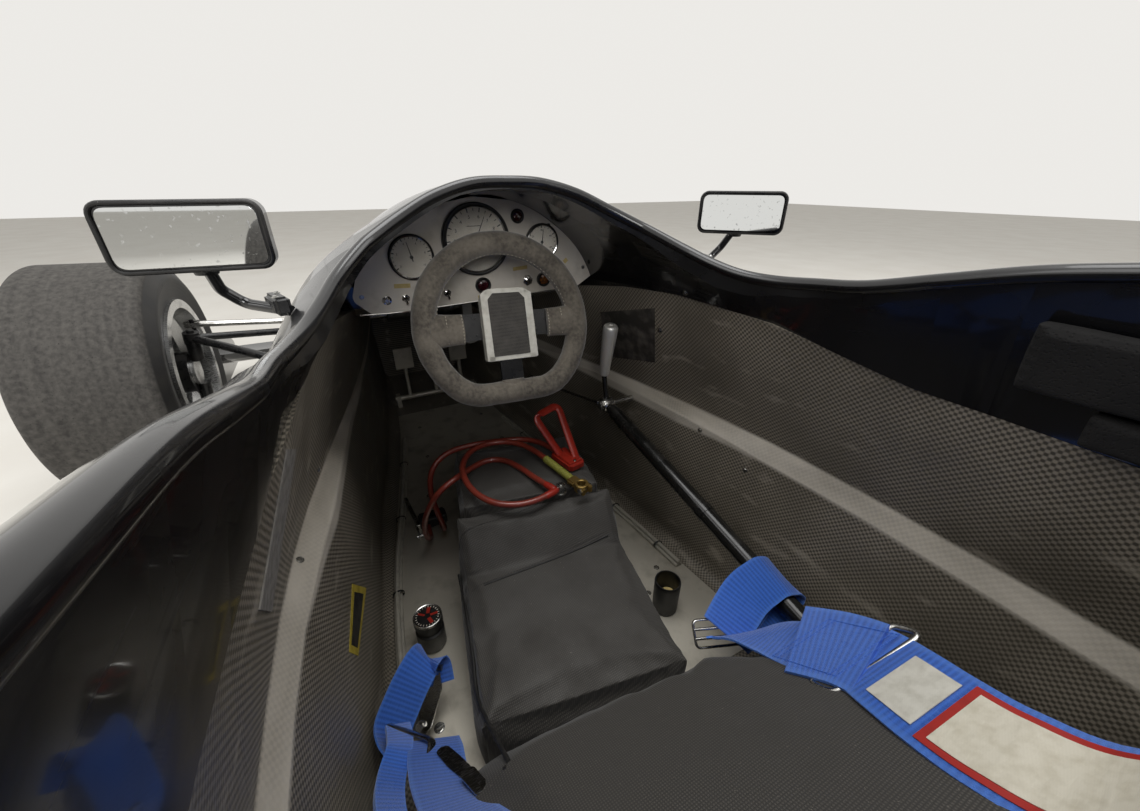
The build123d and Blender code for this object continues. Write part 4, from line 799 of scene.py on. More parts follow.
def screws(name, spots, material, radius_mm=3.0, high_mm=1.6, body="chassis"):
    """Screw or rivet heads on points with normals: one small flanged head for each point, by a node tree."""
    points = bpy.data.meshes.new(name + "_points")
    points.from_pydata([tuple(spot) for spot, _ in spots], [], [])
    facing_out = points.attributes.new("out", "FLOAT_VECTOR", "POINT")
    for i, (_, normal) in enumerate(spots):
        facing_out.data[i].vector = normal
    made = linked(name, points)
    tree, start, end = node_tree(name, (("Radius", radius_mm), ("Height", high_mm)))
    sizes = {"Vertices": 16, "Radius": start["Radius"], "Depth": 0.0006}
    flange = add(tree, "GeometryNodeMeshCylinder", sizes)
    crown = calc(tree, "MULTIPLY", start["Radius"], 0.72)
    sizes = {"Vertices": 6, "Radius Bottom": crown, "Depth": start["Height"]}
    head = add(tree, "GeometryNodeMeshCone", {**sizes, "Radius Top": calc(tree, "MULTIPLY", crown, 0.82)})
    both = add(tree, "GeometryNodeJoinGeometry")
    for part in (flange, head):
        tree.links.new(part.outputs["Mesh"], both.inputs[0])
    out = add(tree, "GeometryNodeInputNamedAttribute", {"Name": "out"}, data_type="FLOAT_VECTOR")
    instanced(tree, made, name, end, start[0], both.outputs[0], out.outputs["Attribute"], material)
    return baked(made, name, material, body)


def stitches(name, line, material, spacing_mm, long_mm, radius_mm, body="chassis"):
    """A row of thread stitches along a line, by a node tree."""
    path = bpy.data.curves.new(name + "_line", "CURVE")
    path.dimensions = "3D"
    spline = path.splines.new("POLY")
    spline.points.add(len(line) - 1)
    for spot, point in zip(spline.points, line):
        spot.co = (*point, 1.0)
    made = linked(name + "_line", path)
    tree, start, end = node_tree(name, (("Spacing", spacing_mm), ("Length", long_mm), ("Radius", radius_mm)))
    kept = add(tree, "GeometryNodeCaptureAttribute")
    kept.capture_items.new("VECTOR", "way")
    tree.links.new(start["Geometry"], kept.inputs[0])
    tree.links.new(add(tree, "GeometryNodeInputTangent").outputs[0], kept.inputs["way"])
    inputs = {"Curve": kept.outputs[0], "Length": start["Spacing"]}
    points = add(tree, "GeometryNodeCurveToPoints", inputs, mode="LENGTH").outputs["Points"]
    inputs = {"Vertices": 6, "Depth": start["Length"], "Radius": start["Radius"]}
    thread = add(tree, "GeometryNodeMeshCylinder", inputs).outputs["Mesh"]
    instanced(tree, made, name, end, points, thread, kept.outputs["way"], material)
    mesh = evaluated(made)
    bpy.data.objects.remove(made)
    return piece(name, bpy.data.objects.new(name, mesh), material, body=body)


def evaluated(made):
    """The plain mesh that an object's live modifiers give."""
    depsgraph = bpy.context.evaluated_depsgraph_get()
    return bpy.data.meshes.new_from_object(made.evaluated_get(depsgraph), depsgraph=depsgraph)


def settle(made):
    """The object with its modifiers turned into its own mesh."""
    made.data = evaluated(made)
    made.modifiers.clear()


def baked(made, name, material, body):
    """The object with its live modifiers turned into a plain mesh, riding on a body."""
    settle(made)
    return piece(name, made, material, body=body)


def lettering(shape, text, size_mm, place, a, b):
    """A plain number laid on a flat place."""
    curve = bpy.data.curves.new("number", "FONT")
    curve.body, curve.size, curve.extrude = text, size_mm * MM, 0.15 * MM
    curve.align_x, curve.align_y = "CENTER", "CENTER"
    holder = bpy.data.objects.new("number", curve)
    mesh = bpy.data.meshes.new_from_object(holder)
    mesh.transform(Matrix.Translation(on(place, a, b, 0.2)) @ square(place).to_4x4())
    shape.from_mesh(mesh)
    bpy.data.objects.remove(holder)


# Battery leads: the same routes as the solids have, and their fittings

LEAD_RADIUS = 5.0
LEAD_LOOP = [
    (449, -47, 284), (490, -38, 286), (528, -10, 286), (540, 28, 286), (522, 64, 292), (484, 90, 294),
    (445, 97, 292), (408, 90, 286), (378, 70, 281), (360, 40, 280), (356, 8, 280), (362, -18, 280),
]
LEAD_FEED = [
    (377, -24, 279), (408, -12, 279), (452, -2, 277), (488, 14, 277), (502, 42, 277), (490, 74, 277),
    (468, 106, 281), (462, 138, 268), (476, 158, 226), (500, 166, 176), (522, 162, 128), (552, 152, 100),
    (592, 152, 100),
]
LEAD_PLUG = [
    (462, -78, 279), (502, -70, 279), (536, -40, 279), (548, 0, 279), (560, 50, 279), (560, 100, 277),
    (546, 134, 258), (538, 142, 212), (536, 134, 160), (544, 126, 118), (566, 126, 100), (592, 126, 100),
]


def lead_curve(name, route, material):
    """A battery lead's line through its route, as thick as the cable."""
    data = bpy.data.curves.new(name, "CURVE")
    data.dimensions = "3D"
    line = data.splines.new("NURBS")
    line.points.add(len(route) - 1)
    for spot, point in zip(line.points, route):
        spot.co = (*mm(*point), 1.0)
    line.order_u = 3
    line.use_endpoint_u = True
    line.resolution_u = 12
    data.bevel_depth, data.bevel_resolution, data.use_fill_caps = LEAD_RADIUS * MM, 5, True
    data.materials.append(material)
    made = linked(name, data)
    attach(made, "chassis")
    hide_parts(name.removesuffix("_cable"))
    return made


def behind(start, following, length):
    """The point behind a lead's end, in line with its first run."""
    return mm(*start) - (mm(*following) - mm(*start)).normalized() * length * MM


def sleeve_profile(length_mm, low, high, ribs):
    """A ribbed sleeve's profile along its axis, closed at both ends."""
    profile = [(0.0, 0.0), (0.0, low * MM)]
    for i in range(ribs):
        for share, radius in ((0.15, low), (0.35, high), (0.75, high), (0.95, low)):
            profile.append(((i + share) / ribs * length_mm * MM, radius * MM))
    return profile + [(length_mm * MM, low * MM), (length_mm * MM, 0.0)]


def clamp_end():
    """The brass battery clamp: a split ring with two jaws, its screw, and the ribbed sleeve on the lead."""
    tail = behind(LEAD_LOOP[0], LEAD_LOOP[1], 72)
    way = mm(*LEAD_LOOP[0]) - tail
    shape = form()
    add_lathe(shape, tail, way, sleeve_profile(71, 5.6, 6.5, 14), 28)
    sleeve = piece("clamp_sleeve", shape, yellow_sleeve, slot="clamp_brass")
    place = facing((358, -64, 284), (0, 0, 1), (sin(radians(-12)), cos(radians(12)), 0))
    shape = form()
    add_lathe(shape, on(place, -7, 0, -6), place[3], [(0, 0.0065), (0, 0.0115), (0.012, 0.0115),
        (0.013, 0.0105), (0.013, 0.0075), (0.012, 0.0065)], 36, closed=True)
    turn = square(place)
    for b in (-7, 7):
        add_box(shape, on(place, -16, b, 0), (0.013, 0.0065, 0.012), turn, 0.0012)
    add_box(shape, on(place, 11, 0, -1), (0.018, 0.019, 0.010), turn, 0.0025)
    clamp = piece("battery_clamp", shape, brass, slot="clamp_brass", replaces=("lead_fittings",))
    shape = form()
    add_lathe(shape, on(place, -16, -11.5, 0.5), place[2],
        [(0, 0), (0, 0.0026), (0.023, 0.0026), (0.023, 0)], 16)
    for b in (-11.8, 9.4):
        add_lathe(shape, on(place, -16, b, 0.5), place[2],
            [(0, 0), (0, 0.0052), (0.0032, 0.0052), (0.0032, 0)], 6)
    bolt = piece("clamp_screw", shape, plated)
    return [sleeve, clamp, bolt]


def lug_end():
    """Two ring lugs with red heat-shrink on one bolt."""
    spot = (366, -36, 272.6)
    shape = form()
    for height, angle in ((6.5, 100), (3.2, 55)):
        place = facing((spot[0], spot[1], spot[2] + height), (0, 0, 1),
            (cos(radians(angle)), sin(radians(angle)), 0))
        add_lathe(shape, on(place, 0, 0, -1), place[3],
            [(0, 0.0044), (0, 0.0085), (0.002, 0.0085), (0.002, 0.0044)], 28, closed=True)
    add_lathe(shape, mm(*spot), UP, [(0, 0), (0, 0.0095), (0.002, 0.0095), (0.002, 0.0042), (0.0165, 0.0042),
        (0.0172, 0.0036), (0.0172, 0)], 24)
    add_lathe(shape, mm(spot[0], spot[1], spot[2] + 9), UP,
        [(0, 0), (0, 0.0078), (0.0052, 0.0078), (0.006, 0.007), (0.006, 0)], 6)
    lug = piece("ring_lugs", shape, plated, slot="clamp_brass")
    shape = form()
    for end, following in ((LEAD_LOOP[-1], LEAD_LOOP[-2]), (LEAD_FEED[0], LEAD_FEED[1])):
        tail = behind(end, following, 13)
        way = mm(*end) - tail
        add_lathe(shape, tail, way, [(0, 0), (0, 0.0035), (0.004, 0.0052), (0.009, 0.0058), (0.022, 0.0057),
            (0.0245, 0.0052), (0.0245, 0)], 24)
    shrink = piece("lug_heat_shrink", shape, red_plastic)
    return [lug, shrink]


def plug_end():
    """The red two-pole plug with its folded handle and two screws."""
    start, following = mm(*LEAD_PLUG[0]), mm(*LEAD_PLUG[1])
    way = (following - start).normalized()
    side = UP.cross(way).normalized()
    place = (start + Vector((0, 0, 0.001)), way, side, way.cross(side))
    turn = square(place)
    shape = form()
    add_box(shape, on(place, -28, 0, 0), (0.055, 0.033, 0.0145), turn, 0.003)
    for b in (-9, 9):
        add_box(shape, on(place, -30, b, 7.0), (0.034, 0.0085, 0.002), turn, 0.0008)
    add_box(shape, on(place, -56, 0, 0), (0.004, 0.026, 0.010), turn, 0.001)
    plug = piece("battery_plug", shape, red_plastic, slot="lead_brown")
    shape = form()
    line = rounded([mm(446, -76, 284), mm(486, -46, 348), mm(498, -96, 356), mm(426, -96, 284)],
        [0, 0.012, 0.012, 0], 8)
    add_tube(shape, line, (0.0076, 0.0038), 16, across=Vector((0.5, -0.75, 0.2)))
    handle = piece("plug_handle", shape, red_plastic)
    heads = screws("plug_screws", [(on(place, a, b, 7.9), place[3]) for a, b in ((-10, 0), (-48, 0))],
        plated, 3.0, 1.4)
    return [plug, handle, heads]


def floor_block():
    """The black junction block on the floor that both leads come from."""
    shape = form()
    add_box(shape, mm(607, 139, 99.5), (0.0295, 0.0535, 0.0225), None, 0.003)
    add_box(shape, mm(607, 139, 110.6), (0.024, 0.048, 0.0028), None, 0.0008)
    for y in (126, 152):
        add_lathe(shape, mm(588, y, 100), AHEAD, [(0, 0.0051), (0, 0.0066), (0.006, 0.0072), (0.006, 0.0)],
            24)
    return piece("junction_block", shape, soft_black, slot="gauge_black")


def leads():
    """The three battery leads, with their ends."""
    loop, feed, plug = (
        lead_curve(name, route, lead)
        for name, route in (("lead_loop_cable", LEAD_LOOP), ("lead_feed_cable", LEAD_FEED),
            ("lead_plug_cable", LEAD_PLUG))
    )
    lug, clamp, handle = lug_end(), clamp_end(), plug_end()
    floor_block()


# Steering wheel: its centre, its rake and turn, and the sizes of its grip in mm

WHEEL_CENTRE = (472, 0, 524)
WHEEL_RAKE, WHEEL_TURN = radians(19.0), radians(3.0)
GRIP_LINE_RADIUS, FOOT, FOOT_RADIUS, GRIP_RADIUS = 117.5, 99.5, 58.0, 17.4


def wheel_place():
    """The steering wheel's face: its centre and its ways right, up and towards the driver."""
    out = Vector((-cos(WHEEL_RAKE), 0, sin(WHEEL_RAKE)))
    right, high = Vector((0, -1, 0)), Vector((sin(WHEEL_RAKE), 0, cos(WHEEL_RAKE)))
    level, steep = cos(WHEEL_TURN), sin(WHEEL_TURN)
    turned = right * level - high * steep, right * steep + high * level
    return mm(*WHEEL_CENTRE), *turned, out


def grip_outline(steps=72):
    """The grip's centre line: a circle with a flattened foot and rounded corners there."""
    inner = GRIP_LINE_RADIUS - FOOT_RADIUS
    drop = FOOT - FOOT_RADIUS
    corner = sqrt(inner**2 - drop**2)
    low = -atan2(drop, corner)
    points = [(GRIP_LINE_RADIUS * cos(t), GRIP_LINE_RADIUS * sin(t))
        for t in (low + (pi - 2 * low) * i / steps for i in range(steps + 1))]
    turn = [pi - low + (pi / 2 + low) * i / 10 for i in range(1, 11)]
    points += [(-corner + FOOT_RADIUS * cos(t), -drop + FOOT_RADIUS * sin(t)) for t in turn]
    points += [(-corner + 2 * corner * i / 8, -FOOT) for i in range(1, 8)]
    points += [(corner + FOOT_RADIUS * cos(t), -drop + FOOT_RADIUS * sin(t))
        for t in (-pi / 2 + (low + pi / 2) * i / 10 for i in range(10))]
    return points


def steering_wheel():
    """Suede-wrapped grip and spoke sleeves, the black plate, and the taped centre pad."""
    place = wheel_place()
    out = place[3]
    shape = form()
    line = [on(place, a, b) for a, b in grip_outline()]
    sizes = []
    for a, b in grip_outline():
        swell = 0.25 * sin(9 * atan2(b, a)) + 0.2 * sin(23 * atan2(b, a) + 1)
        sizes.append(((GRIP_RADIUS - 0.4 + swell) * MM, (GRIP_RADIUS - 0.5 - swell) * MM))
    add_tube(shape, line, sizes, 28, closed=True, across=out)
    for end in (-1, 1):
        reach = [(112, 14.5, 27), (104, 12.5, 24.5), (94, 9.5, 22.6), (80, 8.2, 21.6), (64, 7.6, 21.2)]
        sleeve = [on(place, end * a, -1.5, 3) for a, _, _ in reach]
        add_tube(shape, sleeve, [(d * MM, h * MM) for _, d, h in reach], 24, across=out)
    foot = [(0, -102, 12, 19.5), (0, -90, 9.5, 18.4), (0, -81, 8.2, 17.6)]
    add_tube(shape, [on(place, a, b, 3) for a, b, _, _ in foot], [(d * MM, h * MM) for _, _, d, h in foot],
        24, across=out)
    piece("wheel_grip", shape, nap, body="steering", slot="wheel_suede", replaces=("steering_wheel",))
    shape = form()
    plate = rounded([on(place, a, b, 0.5) for a, b in (
        (-108, -19), (-30, -19), (-17, -30), (-17, -96), (17, -96), (17, -30), (30, -19), (108, -19),
        (108, 19), (-108, 19))],
        [0.004, 0.014, 0.008, 0.002, 0.002, 0.008, 0.014, 0.004, 0.004, 0.004])
    add_slab(shape, plate, out * 0.0045, 0.0006)
    for a in (-46, 46):
        add_box(shape, on(place, a, 0, 4.6), (0.030, 0.030, 0.0012), square(place), 0.0005)
    piece("wheel_spokes", shape, black, body="steering", slot="body_black")
    shape = form()
    pad = [on(place, a, b, 4) for a, b in ((-39, -51), (39, -51), (38, 51), (-38, 51))]
    add_slab(shape, rounded(pad, [0.003, 0.003, 0.017, 0.017]), out * 0.0145, 0.003)
    for corners in (
        ((-38.6, -50), (-28, -50.5), (-28.5, 50), (-38, 44)),
        ((38.6, -50), (26.5, -50.5), (27, 49), (38, 44)),
        ((-33, 43.5), (33, 44), (26, 50.6), (-27, 50.6)),
        ((-36, -50.4), (36, -50.6), (35, -45), (-36, -44.5)),
    ):
        add_slab(shape, [on(place, a, b, 18.3) for a, b in corners], out * 0.0006, 0.0)
    piece("wheel_pad_tape", shape, white_tape, body="steering", slot="pad_black")
    shape = form()
    panel = [on(place, a, b, 18.4) for a, b in ((-28.5, -45), (26.8, -44.5), (26.8, 36), (19, 44.5),
        (-20.5, 44.5), (-28.5, 36))]
    add_slab(shape, rounded(panel, 0.0015), out * 0.0014, 0.0006)
    piece("wheel_pad_mesh", shape, speaker_mesh, body="steering", slot="pad_black")
    rows = []
    for end in (-1, 1):
        for a in (66, 88):
            seam = [on(place, end * a, b, 3 + (10.6 if a == 66 else 11.2) * sqrt(max(0.05,
                1 - (b / 23.5) ** 2)) * 0.74) for b in range(-19, 19, 2)]
            rows.append(seam)
    for i, seam in enumerate(rows):
        stitches(f"sleeve_stitches_{i}", seam, thread, 4.2, 2.6, 0.55, body="steering")
    inner = []
    for a, b in grip_outline(40)[8:33]:
        size = sqrt(a * a + b * b)
        inner.append(on(place, a * (1 - 16.6 / size), b * (1 - 16.6 / size), 5.2))
    stitches("grip_stitches_top", inner, thread, 6.0, 2.8, 0.4, body="steering")
    heads = [(on(place, a, b, 5.2), out) for a, b in ((-46, 12), (-46, -12), (46, 12), (46, -12),
        (0, -66), (0, -80))]
    screws("wheel_screws", heads, black, 2.6, 1.4, body="steering")


# Instrument panel: the x of its face in mm

DASH_FACE = 589.7
# Columns: name, y, z, radius, depth behind the panel, height, numbers, first and last angle, needle angle
DIALS = [
    ("tacho", 0, 632, 54.5, 52, 9, "0 1 2 3 4 5 6 7 8", -144, 64, 25),
    ("left_gauge", 102, 612, 33.5, 40, 7, "0 2 4 6 8 10", -125, 125, -12),
    ("right_gauge", -114, 622, 30, 40, 7, "0 20 40 60 80", -120, 120, 8),
]


def dash_place(y, z):
    """A flat place on the panel's face, seen by the driver."""
    return facing((DASH_FACE, y, z), (-1, 0, 0))


def dial(name, y, z, radius, depth, height, numbers, first, last, pointed):
    """One instrument: its can, black bezel, bright ring, printed face with marks, needle and glass."""
    place = dash_place(y, z)
    out, big = place[3], name == "tacho"
    rim = 5.5 if big else 2.6
    lathed(f"{name}_case", gauge_black, on(place, 0, 0, 0), out, in_mm((
        (-depth, 0), (-depth, radius * 0.86 - 2), (2 - depth, radius * 0.86), (0, radius * 0.86), (0, radius),
        (height - 2.0, radius), (height - 0.4, radius - 1.4), (height - 0.2, radius - rim * 0.6),
        (height - 1.4, radius - rim), (1.2, radius - rim - 0.6), (1.2, 0))), 72, slot="gauge_black",
        replaces=("gauges",) if big else ())
    shape = form()
    ring = radius - rim
    add_lathe(shape, on(place, 0, 0, height - 1.8), out, in_mm((
        (0, ring + 0.6), (1.0, ring + 0.4), (1.5, ring - 0.4), (1.0, ring - 1.4), (-0.6, ring - 1.6))),
        72, closed=True)
    piece(f"{name}_ring", shape, chrome)
    lathed(f"{name}_face", dial_face, on(place, 0, 0, 1.3), out,
        [(0, 0), (0, (ring - 0.9) * MM), (0.0009, (ring - 0.9) * MM), (0.0009, 0)], 64)
    shape = form()
    marks = numbers.split()
    size = 7.2 if big else 4.4
    for i, text in enumerate(marks):
        angle = radians(first + (last - first) * i / (len(marks) - 1))
        lettering(shape, text, size, (place[0] + out * 0.0021, *place[1:]), sin(angle) * ring * 0.69,
            cos(angle) * ring * 0.69)
    count = (len(marks) - 1) * (2 if big else 4)
    for i in range(count + 1):
        angle = radians(first + (last - first) * i / count)
        long = i % (count // (len(marks) - 1)) == 0
        centre = on(place, sin(angle) * ring * 0.89, cos(angle) * ring * 0.89, 2.35)
        turn = square(place) @ Matrix.Rotation(-angle, 3, "Z")
        add_box(shape, centre, (0.0016 if long else 0.0009, ring * MM * (0.13 if long else 0.08), 0.0002),
            turn)
    if big:
        add_box(shape, on(place, -2, 20, 2.35), (0.022, 0.0009, 0.0002), square(place))
    piece(f"{name}_marks", shape, dial_print)
    shape = form()
    angle = radians(pointed)
    tip = Matrix.Rotation(-angle, 3, "Z")
    reach = ring * 0.74
    needle = [(-0.9, -ring * 0.2), (0.9, -ring * 0.2), (0.35, reach), (-0.35, reach)]
    turned = [tip @ Vector((a, b, 0)) for a, b in needle]
    add_slab(shape, [on(place, v.x, v.y, 3.6) for v in turned], out * 0.0005)
    add_lathe(shape, on(place, 0, 0, 2.2), out, [(0, 0), (0, ring * 0.09 * MM), (0.0022, ring * 0.08 * MM),
        (0.0025, 0)], 24)
    piece(f"{name}_needle", shape, gauge_black)
    lathed(f"{name}_glass", dial_glass, on(place, 0, 0, height - 2.4), out,
        [(0, 0), (0, (ring - 0.6) * MM), (0.0006, (ring - 0.6) * MM), (0.001, 0)], 64)


def lamp(name, y, z, radius, depth, height, rim, glass, facets):
    """A warning lamp: its bezel nut and a moulded lens with facets."""
    place = dash_place(y, z)
    lathed(f"{name}_bezel", rim, place[0], place[3], in_mm((
        (-depth, 0), (-depth, radius * 0.7), (0, radius * 0.8), (0, radius), (height - 1.5, radius),
        (height - 0.3, radius - 1.2), (height - 0.6, radius * 0.74), (height - 2.5, radius * 0.72),
        (height - 2.5, 0))), 40)
    lathed(f"{name}_lens", glass, place[0], place[3], in_mm((
        (height - 2.4, 0), (height - 2.4, radius * 0.71), (height - 1.0, radius * 0.66),
        (height - 0.1, radius * 0.42), (height, radius * 0.2), (height, 0))), facets, angle=12)


def toggle(name, y, z, lean):
    """A switch: hexagon nut, threaded bush and a lever that leans up or down."""
    place = dash_place(y, z)
    shape = form()
    add_lathe(shape, place[0], place[3], [(-0.018, 0), (-0.018, 0.005), (0, 0.005), (0, 0.0062),
        (0.002, 0.0062), (0.002, 0.0)], 6)
    add_lathe(shape, on(place, 0, 0, 1.6), place[3], [(0, 0.0038), (0.0035, 0.0038), (0.0045, 0.003),
        (0.0045, 0)], 24)
    way = (place[3] + place[2] * lean).normalized()
    add_lathe(shape, on(place, 0, 0, 3), way, [(0, 0), (0, 0.0013), (0.009, 0.0022), (0.0108, 0.0019),
        (0.0114, 0)], 16)
    piece(name, shape, chrome)


def instruments():
    """All that the panel carries, with its blank marker tapes and edge screws."""
    for row in DIALS:
        dial(*row)
    lamp("red_lamp", -72, 664, 11, 25, 5, gauge_black, ruby, 9)
    lamp("maroon_lamp", -5, 560, 13, 25, 6, gauge_black, maroon, 36)
    lamp("amber_lamp", -115, 560, 12, 25, 7, gauge_black, amber, 18)
    place = dash_place(-85, 561)
    shape = form()
    add_lathe(shape, place[0], place[3], [(-0.022, 0), (-0.022, 0.006), (0, 0.006), (0, 0.0088),
        (0.004, 0.0088), (0.004, 0.006)], 6)
    add_lathe(shape, on(place, 0, 0, 3.8), place[3], [(0, 0.0064), (0.003, 0.0062), (0.003, 0.005),
        (0.0065, 0.005), (0.008, 0.0038), (0.008, 0)], 28)
    piece("push_button", shape, chrome)
    toggle("toggle_left", 120, 552, -0.8)
    toggle("toggle_middle", 55, 553, -0.9)
    place = dash_place(148, 552)
    lathed("small_button", chrome, place[0], place[3], [(-0.02, 0), (-0.02, 0.005), (0, 0.005), (0, 0.007),
        (0.003, 0.0068), (0.0035, 0.004), (0.007, 0.0038), (0.0082, 0.003), (0.0082, 0)], 24)
    shape = form()
    for y, z, wide, high, turn in ((122, 571, 24, 6.5, -3), (-73, 582, 26, 6, 4), (-8, 541.5, 26, 5, 2),
        (-160, 588, 8, 7, 40)):
        place = dash_place(y, z)
        add_box(shape, on(place, 0, 0, 0.2), (wide * MM, high * MM, 0.0003),
            square(place) @ Matrix.Rotation(radians(turn), 3, "Z"))
    piece("marker_tapes", shape, cream_tape)
    heads = [(on(dash_place(y, z), 0, 0, 0.1), Vector((-1, 0, 0)))
        for y, z in ((182, 560), (-196, 574), (-128, 648), (128, 624))]
    screws("panel_screws", heads, plated, 3.4, 1.5)
    shape = form()
    line = [mm(589.0, y, z) for y, z in ((190, 533.8), (150, 531.6), (117, 531.2), (-20, 535.4),
        (-147, 539.2), (-180, 542.6))]
    add_tube(shape, line, 0.0011, 8)
    piece("panel_low_edge", shape, chrome)


# Mirrors: the middle of the left one's shell in mm

MIRROR_CENTRE = (339, 305, 676)


def mirror_glass(name, side, turn, tilt=0.0):
    """The glass in a mirror's face, tipped back in its shell, with its thin black lip."""
    angle = radians(turn) * side
    out = Vector((-cos(angle), -sin(angle), 0))
    centre = Vector((MIRROR_CENTRE[0], MIRROR_CENTRE[1] * side, MIRROR_CENTRE[2]))
    place = facing(tuple(centre + out * 10.0), out)
    shape = form()
    rise = sin(radians(tilt))
    glass_out = out * cos(radians(tilt)) + Vector((0, 0, rise))
    held = facing(tuple(centre + out * (10.0 + 22 * rise)), glass_out)
    glass = rounded([on(held, a, b, 0.1) for a, b in ((-51, -22), (51, -22), (51, 22), (-51, 22))], 0.008)
    add_slab(shape, glass, glass_out * 0.0009, 0.0003)
    piece(f"mirror_glass_{name}", shape, looking_glass, smooth=False)
    shape = form()
    lip = [on(place, a, b, 0.4) for a, b in ((-54, -25), (54, -25), (54, 25), (-54, 25))]
    add_tube(shape, rounded(lip, 0.010), 0.0019, 10, closed=True)
    piece(f"mirror_lip_{name}", shape, black)
    shape = form()
    foot = Vector((348, 262 * side, 611)) * MM
    add_box(shape, foot + Vector((0.004, 0, 0.002)), (0.034, 0.014, 0.017),
        Matrix.Rotation(radians(18) * side, 3, "Z"), 0.003)
    add_lathe(shape, mm(345, 305 * side, 645), UP, [(0, 0), (0, 0.0085), (0.003, 0.0095), (0.008, 0.0085),
        (0.008, 0)], 24)
    piece(f"mirror_clamp_{name}", shape, black)
    screws(f"mirror_screws_{name}", [(foot + Vector((dx * MM, 0, 0.0103)), UP) for dx in (-6, 13)],
        plated, 3.0, 1.6)


# Gear lever: its pivot, the two ends of its grip, and the rear end of the linkage tube, in mm

SHIFT_PIVOT, SHIFT_LOW, SHIFT_TOP = (495, -200, 334), (510, -200, 389), (493, -200, 490)
LINKAGE_REAR = (-296, -216, 160)


def gear_lever():
    """The polished grip, its black rod, the long linkage tube with its rod end, and the thin link forward."""
    low, top = mm(*SHIFT_LOW), mm(*SHIFT_TOP)
    long = (top - low).length
    lathed("shift_grip", polished, low, top - low, [(a * long, r * MM) for a, r in (
        (0, 0), (0, 7.0), (0.015, 8.6), (0.05, 9.5), (0.4, 11.2), (0.8, 13.1), (0.9, 13.5), (0.955, 13.2),
        (0.985, 11.6), (1.0, 9.4), (1.0, 3.2), (0.985, 2.8), (0.985, 0))], 48, replaces=("gear_shift",))
    shape = form()
    pivot = mm(*SHIFT_PIVOT)
    add_tube(shape, [pivot, pivot.lerp(low, 0.5), low + (top - low) * 0.02], 0.0048, 16)
    rear = mm(*LINKAGE_REAR)
    way = (rear - pivot).normalized()
    add_tube(shape, [pivot + way * 0.03, pivot + way * 0.3, pivot + way * 0.55, rear], 0.0129, 28)
    add_tube(shape, [pivot + way * 0.018, pivot + way * 0.045], 0.0108, 20)
    for share in (0.335, 0.62):
        spot = pivot.lerp(rear, share)
        add_lathe(shape, spot, way, [(0, 0.0127), (0.0005, 0.0141), (0.012, 0.0141), (0.0125, 0.0127)], 28)
    piece("shift_tube", shape, tube_black)
    shape = form()
    add_lathe(shape, pivot + Vector((0, -0.011, 0)), LEFT,
        [(0, 0.006), (0, 0.0125), (0.003, 0.014), (0.019, 0.014), (0.022, 0.0125), (0.022, 0.006)], 32)
    add_lathe(shape, pivot + Vector((0, 0.011, 0)), LEFT,
        [(0, 0), (0, 0.0095), (0.006, 0.0095), (0.007, 0.0085), (0.007, 0)], 6)
    add_tube(shape, [pivot + Vector((0, -0.075, 0)), pivot + Vector((0, -0.01, 0))], 0.0062, 16)
    add_tube(shape, [pivot, pivot + way * 0.024], 0.0062, 14)
    piece("shift_rod_end", shape, plated)
    shape = form()
    link = [mm(500, -184, 338), mm(560, -172, 330), mm(660, -150, 318), mm(745, -146, 309)]
    add_tube(shape, smooth_line(link, 6), 0.0036, 14)
    piece("reverse_cable_rod", shape, plated)


# Pads

PAD_NAMES = ["back_pad", "thigh_pad", "knee_pad", "wall_pad_high", "wall_pad_low"]


def loose_solids(node):
    """A CAD node's separate solids, welded, the largest first."""
    whole = form()
    whole.from_mesh(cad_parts[node].data)
    bmesh.ops.remove_doubles(whole, verts=whole.verts, dist=0.00001)
    left, groups = set(whole.verts), []
    while left:
        group, queue = set(), [next(iter(left))]
        while queue:
            corner = queue.pop()
            if corner in group:
                continue
            group.add(corner)
            queue += [edge.other_vert(corner) for edge in corner.link_edges]
        left -= group
        groups.append(group)
    found = []
    for group in groups:
        mesh = bpy.data.meshes.new("solid")
        order = {corner: i for i, corner in enumerate(sorted(group, key=lambda v: v.index))}
        faces = [[order[c] for c in face.verts] for face in whole.faces if face.verts[0] in group]
        mesh.from_pydata([tuple(corner.co) for corner in order], [], faces)
        found.append(mesh)
    whole.free()
    return sorted(found, key=lambda mesh: -size_of(mesh))


def size_of(mesh):
    """A mesh's box volume."""
    spans = [max(v.co[i] for v in mesh.vertices) - min(v.co[i] for v in mesh.vertices) for i in range(3)]
    return spans[0] * spans[1] * spans[2]


